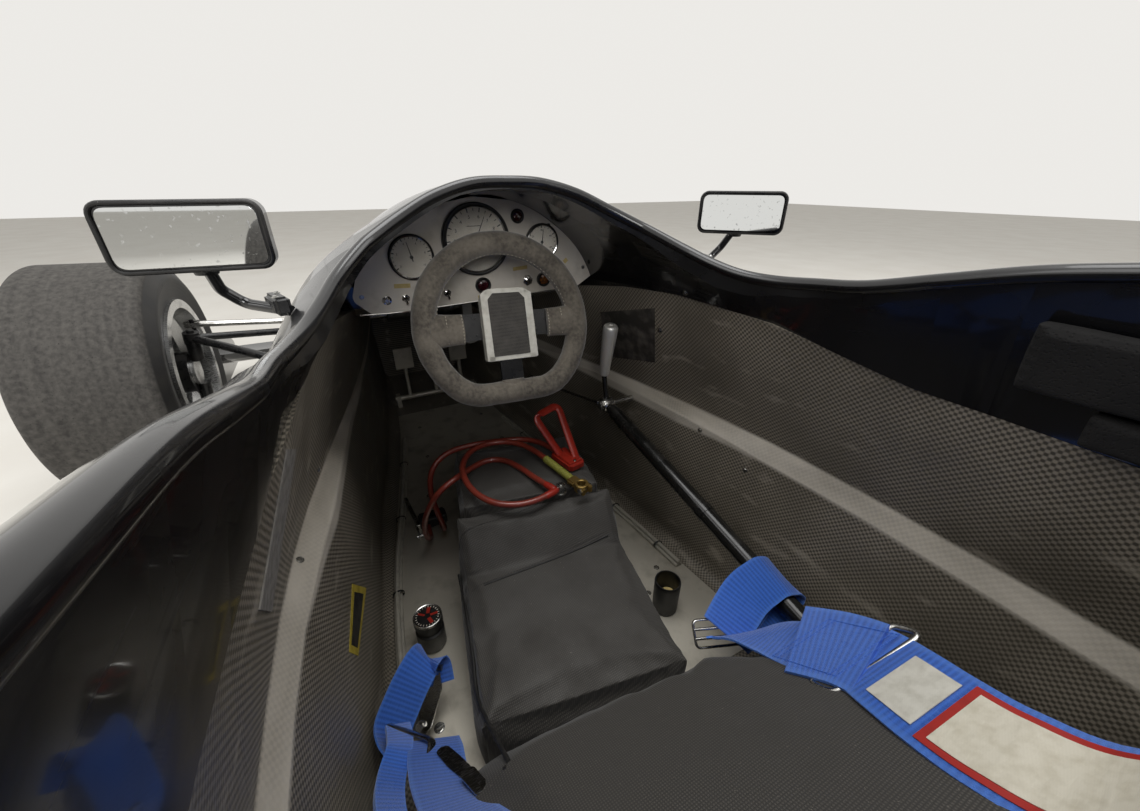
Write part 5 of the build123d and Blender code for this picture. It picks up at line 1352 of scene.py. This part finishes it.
def stuffed(name, mesh, voxel_mm, inset_mm, cap_mm, rest_z=None):
    """A pad blown up by cloth simulation from its own solid, held where it rests, at most cap_mm out."""
    made = linked(name, mesh)
    net = made.modifiers.new("net", "REMESH")
    net.mode, net.voxel_size = "VOXEL", voxel_mm * MM
    settle(made)
    shape = form()
    shape.from_mesh(made.data)
    for _ in range(3):
        bmesh.ops.smooth_vert(shape, verts=shape.verts, factor=0.5, use_axis_x=True, use_axis_y=True,
            use_axis_z=True)
    shape.normal_update()
    for corner in shape.verts:
        corner.co -= corner.normal * inset_mm * MM
    shape.to_mesh(made.data)
    shape.free()
    before = [v.co.copy() for v in made.data.vertices]
    cloth = made.modifiers.new("stuffing", "CLOTH")
    cloth.settings.use_pressure = True
    cloth.settings.uniform_pressure_force = 4.0
    cloth.settings.effector_weights.gravity = 0.0
    cloth.settings.quality = 4
    cloth.settings.tension_stiffness = cloth.settings.compression_stiffness = 12.0
    cloth.collision_settings.use_collision = False
    cloth.point_cache.frame_start, cloth.point_cache.frame_end = 1, 20
    for step in range(1, 21):
        bpy.context.scene.frame_set(step)
    settle(made)
    bpy.context.scene.frame_set(1)
    for corner, first in zip(made.data.vertices, before):
        moved = corner.co - first
        if moved.length > cap_mm * MM:
            corner.co = first + moved.normalized() * cap_mm * MM
        if rest_z is not None:
            corner.co.z = max(corner.co.z, rest_z * MM)
    return made


def finished_pad(made, material, replaces=()):
    """A stuffed pad with one subdivision, shaded and riding on its body."""
    soft = made.modifiers.new("soft", "SUBSURF")
    soft.levels = soft.render_levels = 1
    settle(made)
    piece(made.name, made, material, slot="pad_black", replaces=replaces, angle=0)
    return made


def pads():
    """The seat's folded pads and the foam on the right wall, each on its own solid."""
    solids = dict(zip(PAD_NAMES, loose_solids("seat_pads")))
    finished_pad(stuffed("back_pad", solids["back_pad"], 6.0, 4.5, 7.0, 88.0), leathercloth,
        ("seat_pads",))
    finished_pad(stuffed("thigh_pad", solids["thigh_pad"], 5.0, 4.0, 6.0, 89.0), leathercloth, ())
    finished_pad(stuffed("knee_pad", solids["knee_pad"], 5.0, 3.0, 4.0, 89.0), leathercloth, ())
    for name in PAD_NAMES[3:]:
        finished_pad(stuffed(name, solids[name], 2.5, 0.6, 1.5), foam, ())


def piping(name, tree, places, radius_mm=2.2, lift_mm=1.0):
    """A sewn welt along a pad's edge, laid on it point by point."""
    line = smooth_line([dropped(tree, x, y, lift_mm)[0] for x, y in places], 5)
    shape = form()
    add_tube(shape, line, radius_mm * MM, 10)
    return piece(name, shape, piping_cloth)


def seams(tree):
    """The welts and stitched folds of the pads."""
    piping("thigh_left_welt", tree, [(118, 175), (170, 166), (230, 156), (290, 147), (340, 141), (366, 138)])
    piping("back_front_welt", tree, [(104, 190), (96, 120), (86, 40), (74, -30), (64, -66)], 1.8, 0.4)
    for i, (x, lift) in enumerate(((304, 0.2), (368, 0.4))):
        row = [dropped(tree, x + 0.02 * y, y, lift)[0] for y in range(-84, 136, 4)]
        stitches(f"thigh_stitches_{i}", row, thread_black, 4.5, 3.0, 0.45)
    shape = form()
    add_tube(shape, smooth_line([dropped(tree, 300 + 0.03 * y, y, 0.0)[0] for y in range(-84, 136, 20)], 5),
        0.0016, 8)
    piece("thigh_fold_welt", shape, piping_cloth)


# Belts: the usual width and thickness of the webbing in mm

BELT_WIDTH, BELT_THICK = 75.0, 2.2


def laid_strip(name, tree, places, across, lift_mm):
    """Webbing over a pad: points in plan, dropped on it, with its width pointing one way."""
    line = smooth_line([dropped(tree, x, y, lift_mm)[0] for x, y in places], 6)
    return strip(name, line, [Vector(across)] * len(line), BELT_WIDTH, belt, BELT_THICK, slot="belt_blue")


def belt_line(rows, steps=6):
    """A smooth belt line and its width's way at each point, from rows of point and way."""
    return smooth_line([mm(*row[0]) for row in rows], steps), smooth_line([Vector(row[1]) for row in rows],
        steps)


def belt_strip(name, rows, width_mm, thick_mm=BELT_THICK, **more):
    """One belt's webbing through its rows."""
    line, sides = belt_line(rows)
    return strip(name, line, sides, width_mm, belt, thick_mm, slot="belt_blue", **more)


def buckle(name, place, wide, high):
    """A slide adjuster: a rounded steel frame with two cross bars."""
    bar_mm = 3.6
    shape = form()
    corners = ((-wide / 2, -high / 2), (wide / 2, -high / 2), (wide / 2, high / 2), (-wide / 2, high / 2))
    add_tube(shape, rounded([on(place, a, b, 1.5) for a, b in corners], 0.006),
        (bar_mm * 0.62 * MM, bar_mm * 0.42 * MM), 12, closed=True, across=place[3])
    for b in (high / 3 - high / 2, 2 * high / 3 - high / 2):
        add_tube(shape, [on(place, -wide / 2, b, 2.2), on(place, 0, b, 2.6), on(place, wide / 2, b, 2.2)],
            bar_mm * 0.5 * MM, 12)
    return piece(name, shape, plated)


# Rows: a point of the strap's middle and the way its width points
SHOULDER_RIGHT = [
    ((10, -122, 307), (-0.16, -0.86, 0.47)), ((-21, -132, 328), (-0.16, -0.86, 0.47)),
    ((-46, -134, 343), (-0.16, -0.86, 0.46)),
    ((-69, -124, 359), (-0.14, -0.88, 0.42)), ((-100, -112, 377), (-0.1, -0.92, 0.35)),
    ((-132, -104, 395), (-0.05, -0.95, 0.28)),
    ((-168, -102, 420), (0, -0.97, 0.22)), ((-200, -103, 475), (0, -0.98, 0.18)),
    ((-240, -105, 556), (0, -0.99, 0.12)),
    ((-272, -106, 608), (0, -1, 0.05)), ((-297, -106, 611), (0, -1, 0)),
]
LAP_RIGHT_LOOP = [
    ((84, -116, 229), (-0.35, -0.93, -0.05)), ((98, -160, 251), (-0.75, -0.62, -0.12)),
    ((99, -190, 262), (-0.95, -0.2, -0.2)),
    ((98, -208, 264), (-0.976, -0.02, -0.215)), ((96, -227, 254), (-0.976, 0.02, -0.215)),
    ((93, -230, 238), (-0.976, 0.02, -0.215)),
    ((91, -212, 225), (-0.95, -0.1, -0.2)), ((90, -190, 219), (-0.8, -0.5, -0.15)),
    ((85, -128, 219), (-0.35, -0.93, -0.05)),
]
LAP_RIGHT_END = [
    ((92, -108, 214), (-0.35, -0.93, -0.05)), ((80, -120, 225), (-0.35, -0.93, 0.0)),
    ((56, -124, 258), (-0.3, -0.93, 0.15)),
    ((30, -125, 284), (-0.22, -0.9, 0.35)), ((2, -126, 306), (-0.16, -0.86, 0.47)),
    ((-34, -134, 331), (-0.16, -0.86, 0.47)),
]
LAP_RIGHT_ANCHOR = [
    ((152, -250, 100), (1, 0, 0)), ((148, -251, 128), (1, 0, 0)), ((138, -243, 170), (1, 0, -0.1)),
    ((122, -226, 206), (1, 0, -0.2)),
    ((108, -196, 219), (0.9, 0.3, -0.1)), ((94, -150, 219), (0.5, 0.8, 0)),
]
LAP_LEFT_FOLD = [
    ((242, 206, 138), (0.62, 0.62, 0.45)), ((258, 205, 156), (0.6, 0.62, 0.5)),
    ((262, 210, 168), (0.58, 0.62, 0.52)), ((246, 226, 170), (0.56, 0.6, 0.56)),
    ((226, 246, 160), (0.5, 0.6, 0.6)), ((204, 262, 152), (0.5, 0.55, 0.65)),
    ((178, 262, 154), (0.4, 0.6, 0.68)), ((150, 252, 166), (0.3, 0.6, 0.72)),
]
LAP_LEFT_ROLL = [
    ((192, 254, 176), (0.2, 0.9, 0.3)), ((176, 253, 185), (0.2, 0.9, 0.3)),
    ((157, 254, 196), (0.2, 0.85, 0.4)), ((126, 262, 216), (0.15, 0.8, 0.5)),
    ((92, 264, 240), (0.1, 0.8, 0.55)), ((40, 258, 268), (0.1, 0.8, 0.55)),
]
LAP_LEFT_WIDE = [
    ((160, 222, 176), (0.25, 0.9, 0.25)), ((142, 221, 190), (0.25, 0.9, 0.25)),
    ((122, 222, 204), (0.22, 0.9, 0.3)), ((94, 221, 222), (0.2, 0.9, 0.35)),
    ((62, 214, 246), (0.1, 0.92, 0.3)), ((20, 200, 284), (0.05, 0.95, 0.15)), ((-20, 186, 314), (0, 1, 0)),
]


def belts(tree):
    """The shoulder straps, lap belts, rings and adjusters, with their labels left blank."""
    belt_strip("shoulder_strap_right", SHOULDER_RIGHT, 74, 2.6, replaces=("harness",))
    folded = [((x, y, z + 3.4), way) for (x, y, z), way in SHOULDER_RIGHT[:3]]
    belt_strip("strap_doubler", folded, 76, 3.4)
    laid_strip("shoulder_strap_left", tree, [(-294, 150), (-268, 150), (-240, 150), (-180, 150), (-120, 150),
        (-90, 150)], (0, 1, 0), 2.4)
    for name, rows, width_mm in (
        ("lap_strap_right_loop", LAP_RIGHT_LOOP, 58), ("lap_strap_right_end", LAP_RIGHT_END, 58),
        ("lap_strap_right_anchor", LAP_RIGHT_ANCHOR, 50), ("lap_strap_left_fold", LAP_LEFT_FOLD, 46),
    ):
        belt_strip(name, rows, width_mm)
    belt_strip("lap_strap_left_roll", LAP_LEFT_ROLL, 26, 5.0)
    belt_strip("lap_strap_left_wide", LAP_LEFT_WIDE, 56)
    buckle("ladder_buckle_right", facing((86, -121, 226), (-0.6, 0.2, 0.75), (0.75, -0.3, 0.6)), 80, 30)
    way = Vector((-0.16, -0.86, 0.47)).normalized()
    ring = (mm(-44, -134, 341), way, Vector((0.82, 0.1, -0.5)).normalized(),
        Vector((0.5, 0.42, 0.75)).normalized())
    shape = form()
    loop = rounded([on(ring, a, b, 0) for a, b in ((-47, -9), (47, -9), (47, 15), (-47, 15))],
        [0.011, 0.011, 0.008, 0.008])
    add_tube(shape, loop, 0.0032, 14, closed=True)
    piece("shoulder_ring_right", shape, plated, replaces=("harness_fittings",))
    stitch_doubler()
    strap_label("strap_label_white", SHOULDER_RIGHT, 0.29, 0.395, 50, white_tape, 2.2)
    strap_label("strap_label_border", SHOULDER_RIGHT, 0.415, 0.655, 62, red_print, 2.0)
    strap_label("strap_label_cream", SHOULDER_RIGHT, 0.43, 0.64, 52, label_cloth, 2.6)
    floor_anchors()


def stitch_doubler():
    """Rows of thread round the doubler's edge."""
    corners = [(Vector(point) + Vector((0, 0, 5.4)), Vector(way).normalized())
        for point, way in SHOULDER_RIGHT[:3]]
    rows = []
    for share in (0.06, 0.14, 0.86, 0.94):
        first, last = corners[0], corners[2]
        middle, way = first[0].lerp(last[0], share), first[1].lerp(last[1], share).normalized()
        rows.append([(middle + way * a) * MM for a in range(-33, 34, 3)])
    for side in (-33, 33):
        rows.append([(corners[0][0].lerp(corners[2][0], share / 12) + corners[0][1] * side) * MM
            for share in range(1, 12)])
    for i, row in enumerate(rows):
        stitches(f"doubler_stitches_{i}", row, thread_blue, 3.4, 2.5, 0.5)


def strap_label(name, rows, start, end, wide_mm, material, lift_mm):
    """A blank sewn label that follows a strap from one share of it to another."""
    line, sides = belt_line(rows, 12)
    first, last = int(start * (len(line) - 1)), int(end * (len(line) - 1))
    shape = form()
    grid = []
    for i in range(first, last + 1):
        way = (line[min(i + 1, len(line) - 1)] - line[max(i - 1, 0)]).normalized()
        side = (sides[i] - way * sides[i].dot(way)).normalized()
        up = side.cross(way) if side.cross(way).z > 0 else way.cross(side)
        grid.append([shape.verts.new(line[i] + side * wide_mm * MM * (k / 6 - 0.5) + up * lift_mm * MM)
                     for k in range(7)])
    for a, b in zip(grid, grid[1:]):
        for k in range(6):
            shape.faces.new((a[k], a[k + 1], b[k + 1], b[k]))
    made = piece(name, shape, material)
    wall = made.modifiers.new("thickness", "SOLIDIFY")
    wall.thickness, wall.offset = 0.0006, 0
    return baked(made, name, material, "chassis")


def floor_anchors():
    """The belts' steel: the curved bracket, the bent clip, the strips, the hook and the buckle tongue."""
    shape = form()
    bracket = rounded([mm(*p) for p in ((206, 240, 100), (238, 232, 106), (262, 216, 146), (256, 196, 152),
        (236, 200, 134), (210, 222, 112))], 0.009)
    add_slab(shape, bracket, Vector((-0.0015, 0.001, 0.0024)), 0.0007)
    add_tube(shape, [mm(268, 218, 152), mm(250, 194, 154)], 0.0036, 12)
    piece("belt_bracket_left", shape, plated)
    shape = form()
    clip = [mm(*p) for p in ((196, 262, 178), (154, 222, 187), (118, 233, 200))]
    add_tube(shape, rounded(clip, [0, 0.014, 0]), (0.0058, 0.0018), 12, across=Vector((-0.4, 0.5, 0.75)))
    add_tube(shape, [mm(188, 262, 172), mm(150, 240, 184), mm(124, 240, 194)], 0.0022, 10)
    piece("belt_clip_left", shape, plated)
    shape = form()
    add_slab(shape, rounded([mm(x, y, FLOOR_TOP) for x, y in ((272, 196), (272, 226), (176, 226),
        (176, 196))], 0.006), Vector((0, 0, 0.003)), 0.0008)
    add_slab(shape, rounded([mm(x, y, FLOOR_TOP) for x, y in ((196, -262), (196, -232), (120, -232),
        (120, -262))], 0.006), Vector((0, 0, 0.003)), 0.0008)
    add_slab(shape, rounded([mm(*p) for p in ((170, -252, 91), (132, -252, 91), (136, -252, 116),
        (166, -252, 116))], 0.008), Vector((0, 0.003, 0)), 0.0008)
    piece("belt_floor_strips", shape, floor_sheet)
    shape = form()
    hook = rounded([mm(*p) for p in ((136, 222, 196), (112, 214, 206), (92, 204, 214), (96, 192, 212),
        (116, 200, 203), (138, 210, 193))], 0.006)
    add_slab(shape, hook, Vector((0.0008, 0, 0.0028)), 0.0007)
    tongue = rounded([mm(*p) for p in ((92, 206, 224), (62, 196, 240), (66, 184, 240), (94, 192, 223))],
        0.005)
    add_slab(shape, tongue, Vector((0.0008, 0, 0.0028)), 0.0007)
    piece("belt_hook_left", shape, plated)
    heads = [(mm(216, 214, 91.3), UP), (mm(190, 212, 91.3), UP),
        (mm(218, 234, 109), Vector((-0.45, 0.3, 0.85)))]
    heads += [(mm(152, -246, 91.3), UP), (mm(186, -246, 91.3), UP)]
    screws("belt_bolts", heads, plated, 7.0, 4.5)


# Small things on the cockpit's floor and walls


def floor_things():
    """The dial head, the cup, the cables and the bolts of the floor sheet."""
    place = facing((341, 196, FLOOR_TOP), (0, 0, 1), (1, 0, 0))
    lathed("dial_head_body", soft_black, place[0], place[3],
        in_mm(((0, 0), (0, 19), (3, 20.5), (34, 20.5), (36, 18), (46, 18), (48, 20.8), (57, 20.9), (57, 0))),
        48, replaces=("floor_fittings",))
    lathed("dial_head_rim", plated, on(place, 0, 0, 56), place[3],
        in_mm(((0, 18.2), (0, 20.9), (4.6, 20.6), (5.2, 19.6), (4.6, 18.2))), 48, closed=True)
    lathed("dial_head_face", gauge_black, on(place, 0, 0, 57), place[3],
        [(0, 0), (0, 0.0184), (0.0028, 0.0182), (0.0028, 0)], 40)
    shape = form()
    for k, wide in ((0, 0.0052), (1, 0.0036), (2, 0.0052), (4, 0.003)):
        angle = radians(72 * k + 20)
        add_box(shape, on(place, sin(angle) * 9.5, cos(angle) * 9.5, 60.2), (wide, 0.0105, 0.0005),
            square(place) @ Matrix.Rotation(-angle, 3, "Z"))
    piece("dial_head_marks", shape, red_plastic)
    shape = form()
    for k in range(24):
        angle = radians(15 * k)
        add_box(shape, on(place, sin(angle) * 16, cos(angle) * 16, 60.1), (0.0008, 0.0024, 0.0004),
            square(place) @ Matrix.Rotation(-angle, 3, "Z"))
    piece("dial_head_ticks", shape, dial_face)
    place = facing((228, -157, FLOOR_TOP), (0, 0, 1), (1, 0, 0))
    lathed("cup_body", soft_black, place[0], place[3], in_mm(((0, 0), (0, 18.5), (2, 20), (54, 20.8),
        (59, 20.9), (61.5, 20.2), (61.5, 18.6), (55, 18.2), (6, 17.2), (6, 0))), 48, slot="cup_black")
    lathed("cup_insert", cream_tape, on(place, 2, 1, 6), (place[3] + place[1] * 0.2).normalized(),
        [(0, 0), (0, 0.012), (0.022, 0.013), (0.025, 0.010), (0.025, 0.004), (0.012, 0.003), (0.012, 0)], 28)
    cables()
    heads = [(mm(x, y, 88.1), UP) for x, y in ((218, 205), (268, 40), (262, -150), (300, -196), (620, 60),
        (620, -60), (700, 130), (700, -130), (860, 100), (860, -100), (1020, 90), (1020, -90), (560, -160))]
    screws("floor_bolts", heads, plated, 5.0, 2.4)


def cables():
    """Grey sheathed cables clipped beside the floor sheet, with clips, a tie and the steel fork end."""
    left = [(200, 252, 94.3), (366, 240, 94.3), (530, 218, 94.3), (720, 180, 94.3), (960, 140, 94.3)]
    right = [(284, -234, 94.3), (400, -224, 94.3), (560, -204, 94.3), (760, -170, 94.3), (960, -140, 94.3)]
    shape = form()
    for route in (left, right):
        for shift, rise in ((-5, -2.6), (5, -2.6), (0.5, 4.6)):
            line = smooth_line([mm(x, y + shift * 0.7, z + rise) for x, y, z in route], 10)
            add_tube(shape, line, 0.0037, 12)
    piece("loom_cables", shape, grey, slot="loom_grey", replaces=("wiring",))
    shape = form()
    for x, y in ((300, 246), (450, 229), (640, 197), (340, -229), (470, -216), (640, -191),
        (840, 160), (840, -155)):
        ring = [mm(x, y + cos(t) * 9.2, 95.5 + sin(t) * 6.6) for t in (2 * pi * k / 20 for k in range(20))]
        add_tube(shape, ring, (0.0022, 0.0006), 8, closed=True, across=AHEAD)
    piece("loom_ties", shape, soft_black)
    shape = form()
    sleeve_end = mm(212, 251, 94.3)
    add_lathe(shape, sleeve_end, mm(366, 240, 94.3) - sleeve_end, sleeve_profile(60, 5.2, 6.4, 14), 24)
    piece("loom_ribbed_end", shape, grey)
    shape = form()
    add_tube(shape, [mm(600, 168, 95), mm(640, 172, 95), mm(700, 178, 96)], 0.0045, 14)
    for side in (-6, 6):
        add_box(shape, mm(583, 166 + side, 95), (0.034, 0.003, 0.012), None, 0.0008)
    add_box(shape, mm(600, 167, 95), (0.006, 0.015, 0.012), None, 0.001)
    add_lathe(shape, mm(572, 155, 95), LEFT, [(0, 0), (0, 0.004), (0.022, 0.004), (0.022, 0)], 16)
    piece("cable_fork", shape, plated)


def wall_things(tub_skin):
    """What the tub's walls carry: fastener strip, panel, bolts and a blank sticker."""
    patch("hook_strip_left", tub_skin, [(286, 449), (295, 449), (270, 612), (258, 610)], grey_strip, 1.2, 10)
    patch("wall_panel_right", tub_skin, [(601, 312), (655, 308), (655, 362), (606, 356)], scuffed_panel,
        1.5, 8)
    patch("sticker_blank", tub_skin, [(352, 584), (366, 588), (358, 656), (349, 652)], yellow_sticker, 0.5, 8)
    patch("sticker_blank_field", tub_skin, [(354, 592), (363, 594), (357, 648), (351, 645)], soft_black,
        0.9, 8)
    heads = [seen(tub_skin, px, py, 0.4) for px, py in ((685, 293), (660, 330), (318, 470), (300, 560),
        (700, 430), (745, 470))]
    screws("wall_bolts", heads, plated, 4.2, 2.2)


# Cockpit rim: how far inward the edge is looked for in mm, and the lowest skin that counts in metres

EDGE_REACH, EDGE_LOW = 140, 0.52


def edge_point(skin, start, way):
    """The last point of the body's skin on the way into the cockpit's opening."""
    last = None
    for step in range(EDGE_REACH * 2):
        x, y = start[0] + way[0] * step * 0.5, start[1] + way[1] * step * 0.5
        spot = skin.ray_cast(mm(x, y, 1200), DOWN)[0]
        if spot is None or spot.z < EDGE_LOW:
            if last is not None:
                break
            continue
        last = spot
    return last


def rim_lip():
    """The rolled lip round the cockpit's opening, a rounded edge that catches the light."""
    skin = surface("upper_body")
    side = [edge_point(skin, (x, 300), (0, -1)) for x in (-296, -240, -180, -120, -60, 0, 60, 120, 171, 220,
        262, 300, 340, 376)]
    ahead = [edge_point(skin, (480, y), (-1, 0)) for y in (165, 130, 90, 45, 0)]
    half = [spot for spot in side + ahead if spot is not None]
    line = half + [Vector((p.x, -p.y, p.z)) for p in reversed(half[:-1])]
    line = [p - Vector((0, 0, 0.0035)) for p in line]
    shape = form()
    add_tube(shape, smooth_line(line, 6), 0.0068, 16)
    piece("cockpit_rim_lip", shape, gloss, slot="body_black")


# Outside fasteners and running gear: how far in metres a head stands off its skin

HEAD_LIFT = 0.0002


def shot(skin, start, way, least):
    """A head where a ray meets the skin, or none where the skin faces too far aside."""
    spot, normal, _, _ = skin.ray_cast(start, way)
    return [(spot + normal * HEAD_LIFT, normal)] if spot is not None and -normal.dot(way) > least else []


def outside_fasteners():
    """Screws along the joints of the nose, upper body, cover and pods, and in the wings' end plates."""
    heads = []
    for name, spots in (
        ("upper_body", [(x, y) for x in (1330, 1180) for y in (-90, -45, 0, 45, 90)]),
        ("nose_cone", [(1560, y) for y in (-70, 0, 70)]),
        ("engine_cover", [(x, y) for x in (-420, -700, -980) for y in (-60, 60)]),
    ):
        skin = surface(name)
        for x, y in spots:
            heads += shot(skin, mm(x, y, 1500), DOWN, 0.2)
    for names, z, row in ((("sidepod_l", "sidepod_r"), 290, range(-560, 520, 120)),
                          (("upper_body", "engine_cover"), 330, range(-900, 1100, 125))):
        skin = surface(*names)
        for x in row:
            for side in (-1, 1):
                heads += shot(skin, mm(x, side * 1200, z), Vector((0, -side, 0)), 0.3)
    screws("body_screws", heads, plated, 4.4, 1.4)
    heads = []
    for name, spots in (("rear_wing", [(x, z) for x in (-1880, -1990) for z in (760, 800, 840)]),
                        ("front_wing", [(x, z) for x in (1860, 1960) for z in (120, 160)])):
        skin = surface(name)
        for x, z in spots:
            for side in (-1, 1):
                spot, normal, _, _ = skin.ray_cast(mm(x, side * 1200, z), Vector((0, -side, 0)))
                if spot is not None and abs(normal.y) > 0.9:
                    heads.append((spot + Vector((0, side * HEAD_LIFT, 0)), Vector((0, side, 0))))
    screws("wing_screws", heads, plated, 5.0, 2.2)


# Columns: body, centre x, y, z, side
WHEELS = [
    ("wheel_fl", 1250, 700, 276.35, 1), ("wheel_fr", 1250, -700, 276.35, -1),
    ("wheel_rl", -1450, 705, 288.99, 1), ("wheel_rr", -1450, -705, 288.99, -1),
]


def wheel_trim():
    """A rubber valve stem on each wheel's outer face."""
    for body, x, y, z, side in WHEELS:
        camber = radians(1.5 if x > 0 else 1.0)
        axle = Vector((0, side * cos(camber), sin(camber)))
        high = Vector((0, -side * sin(camber), cos(camber)))
        centre = mm(x, y, z)
        width = 122 if x > 0 else 146
        shape = form()
        foot = centre + axle * (width - 22) * MM + high * 0.147
        add_lathe(shape, foot, (axle * 0.5 + high * -0.9).normalized(),
            [(0, 0), (0, 0.0055), (0.004, 0.0045), (0.022, 0.0040), (0.024, 0.0030), (0.030, 0.0030),
            (0.031, 0)], 16)
        piece(f"valve_{body[-2:]}", shape, soft_black, body=body)


camera()
scene_light()

# Materials of this car

gloss = gelcoat()
weave = tub_laminate()
under = laminate("woven_laminate_floor", "#141313", "#2a2826", 3.0)
sheet = brushed("brushed_sheet_alloy", "#ddd6ca", 0.6, "y", 0.45, "#aaa294", 0.35)
floor_sheet = brushed("scuffed_floor_alloy", "#c6c0b2", 0.8, "x", 0.45, "#7a7466", 0.5)
casing = cast("shot_blasted_casting", "#8d8b86")
pipe = cast("heat_blued_pipe_steel", "#6f6257", 0.4)
black = enamel("black_stove_enamel", "#121213")
tube_black = enamel("semi_gloss_tube_enamel", "#161615", 0.28)
plated = brushed("bright_plated_steel", "#bdbcb8", 0.5, "y", 0.22, "#77736a")
polished = brushed("polished_alloy_grip", "#e6e4de", 0.3, "z", 0.36, "#b5b1a8", 0.55)
alloy = brushed("turned_rim_alloy", "#c3c3c2", 0.7, "y", 0.28, "#5c5850")
chrome = plain("chromed_brass", "#d8d7d4", 0.1, "#8b8883", 6, Metallic=1.0)
brass = cast("cast_battery_brass", "#b79a5c", 0.38, 1.0, 0.8, "#7a6a48")
front_slick = rubber_tread("worn_slick_compound_front", 1250, 276.35, 262)
rear_slick = rubber_tread("worn_slick_compound_rear", -1450, 288.99, 275)
nap = suede()
leathercloth = pad_cloth("black_leathercloth", 2.2, "#6f6a62", "#33312e", "#55514b")
piping_cloth = plain("black_piping_cloth", "#191817", 0.6, "#35322e", 6)
foam = cell_foam()
lead = plain("red_brown_lead_jacket", "#8c382a", 0.3, "#5a2018", 10, Coat_Weight=0.4)
grey = plain("grey_loom_jacket", "#a8a397", 0.5, "#77736a")
soft_black = plain("moulded_black_plastic", "#161616", 0.4, "#2f2d2b")
gauge_black = plain("satin_black_bezel", "#131313", 0.35, "#2a2826", 8)
red_plastic = plain("red_moulded_plastic", "#a32a1c", 0.36, "#6d1a12", 9, Coat_Weight=0.3)
yellow_sleeve = plain("yellow_green_crimp_sleeve", "#8f8f3c", 0.5, "#6a6a30", 7)
white_tape = woven_tape("white_cloth_tape", "#d4d1c6", "#b3afa2")
cream_tape = woven_tape("cream_marker_tape", "#cdb87c", "#a8925a")
label_cloth = woven_tape("cream_label_cloth", "#d9d3c2", "#bdb5a0")
red_print = plain("red_label_border", "#a5261f", 0.55, "#7d1c17", 10)
speaker_mesh = mesh_cloth()
dial_face = plain("printed_dial_face", "#f0e8d8", 0.55, "#dccfb8", 14)
dial_print = plain("black_dial_print", "#0e0d0d", 0.6, "#1b1a19", 4)
dial_glass = clear_glass()
ruby = lens("ruby_lamp_lens", "#5c1a1c")
maroon = lens("maroon_lamp_lens", "#4a1020")
amber = lens("amber_lamp_lens", "#b86a1e")
looking_glass = mirror_silver()
thread = plain("pale_waxed_thread", "#b9b1a0", 0.7, "#8a8272", 4)
thread_black = plain("black_bonded_thread", "#2b2927", 0.6, "#45413c", 4)
thread_blue = plain("blue_bonded_thread", "#3567c9", 0.6, "#234a9c", 4)
belt = webbing()
grey_strip = woven_tape("grey_hook_strip", "#8e8a84", "#6b6863")
scuffed_panel = plain("scuffed_wall_panel", "#3a3733", 0.5, "#8a837a", 22)
yellow_sticker = plain("faded_yellow_vinyl", "#c9b23c", 0.45, "#5f5628", 16)

leads()
steering_wheel()
instruments()
mirror_glass("left", 1, -6.0)
mirror_glass("right", -1, 48.0, 4.0)
gear_lever()
pads()
pad_skin = surface("back_pad", "thigh_pad", "knee_pad")
seams(pad_skin)
belts(pad_skin)
floor_things()
wall_things(surface("tub", "upper_body", "cockpit_floor"))
rim_lip()
outside_fasteners()
wheel_trim()

dress(gloss, "upper_body", "nose_cone", "front_wing", "sidepod_l", "sidepod_r", "engine_cover",
    "rear_wing", "mirrors")
dress(weave, "tub")
dress(under, "undertray")
dress(sheet, "dash_panel")
dress(floor_sheet, "cockpit_floor", "pedals")
dress(casing, "engine", "gearbox", "steering_rack")
dress(pipe, "exhaust")
dress(black, "roll_hoop", "suspension_front", "suspension_rear", "uprights_rear", "upright_fl", "upright_fr",
    "lower_shaft", "steering_column")
dress(plated, "harness_fittings", "rack_bar")
dress(alloy, "rim_fl", "rim_fr", "rim_rl", "rim_rr")
dress(front_slick, "tyre_fl", "tyre_fr")
dress(rear_slick, "tyre_rl", "tyre_rr")
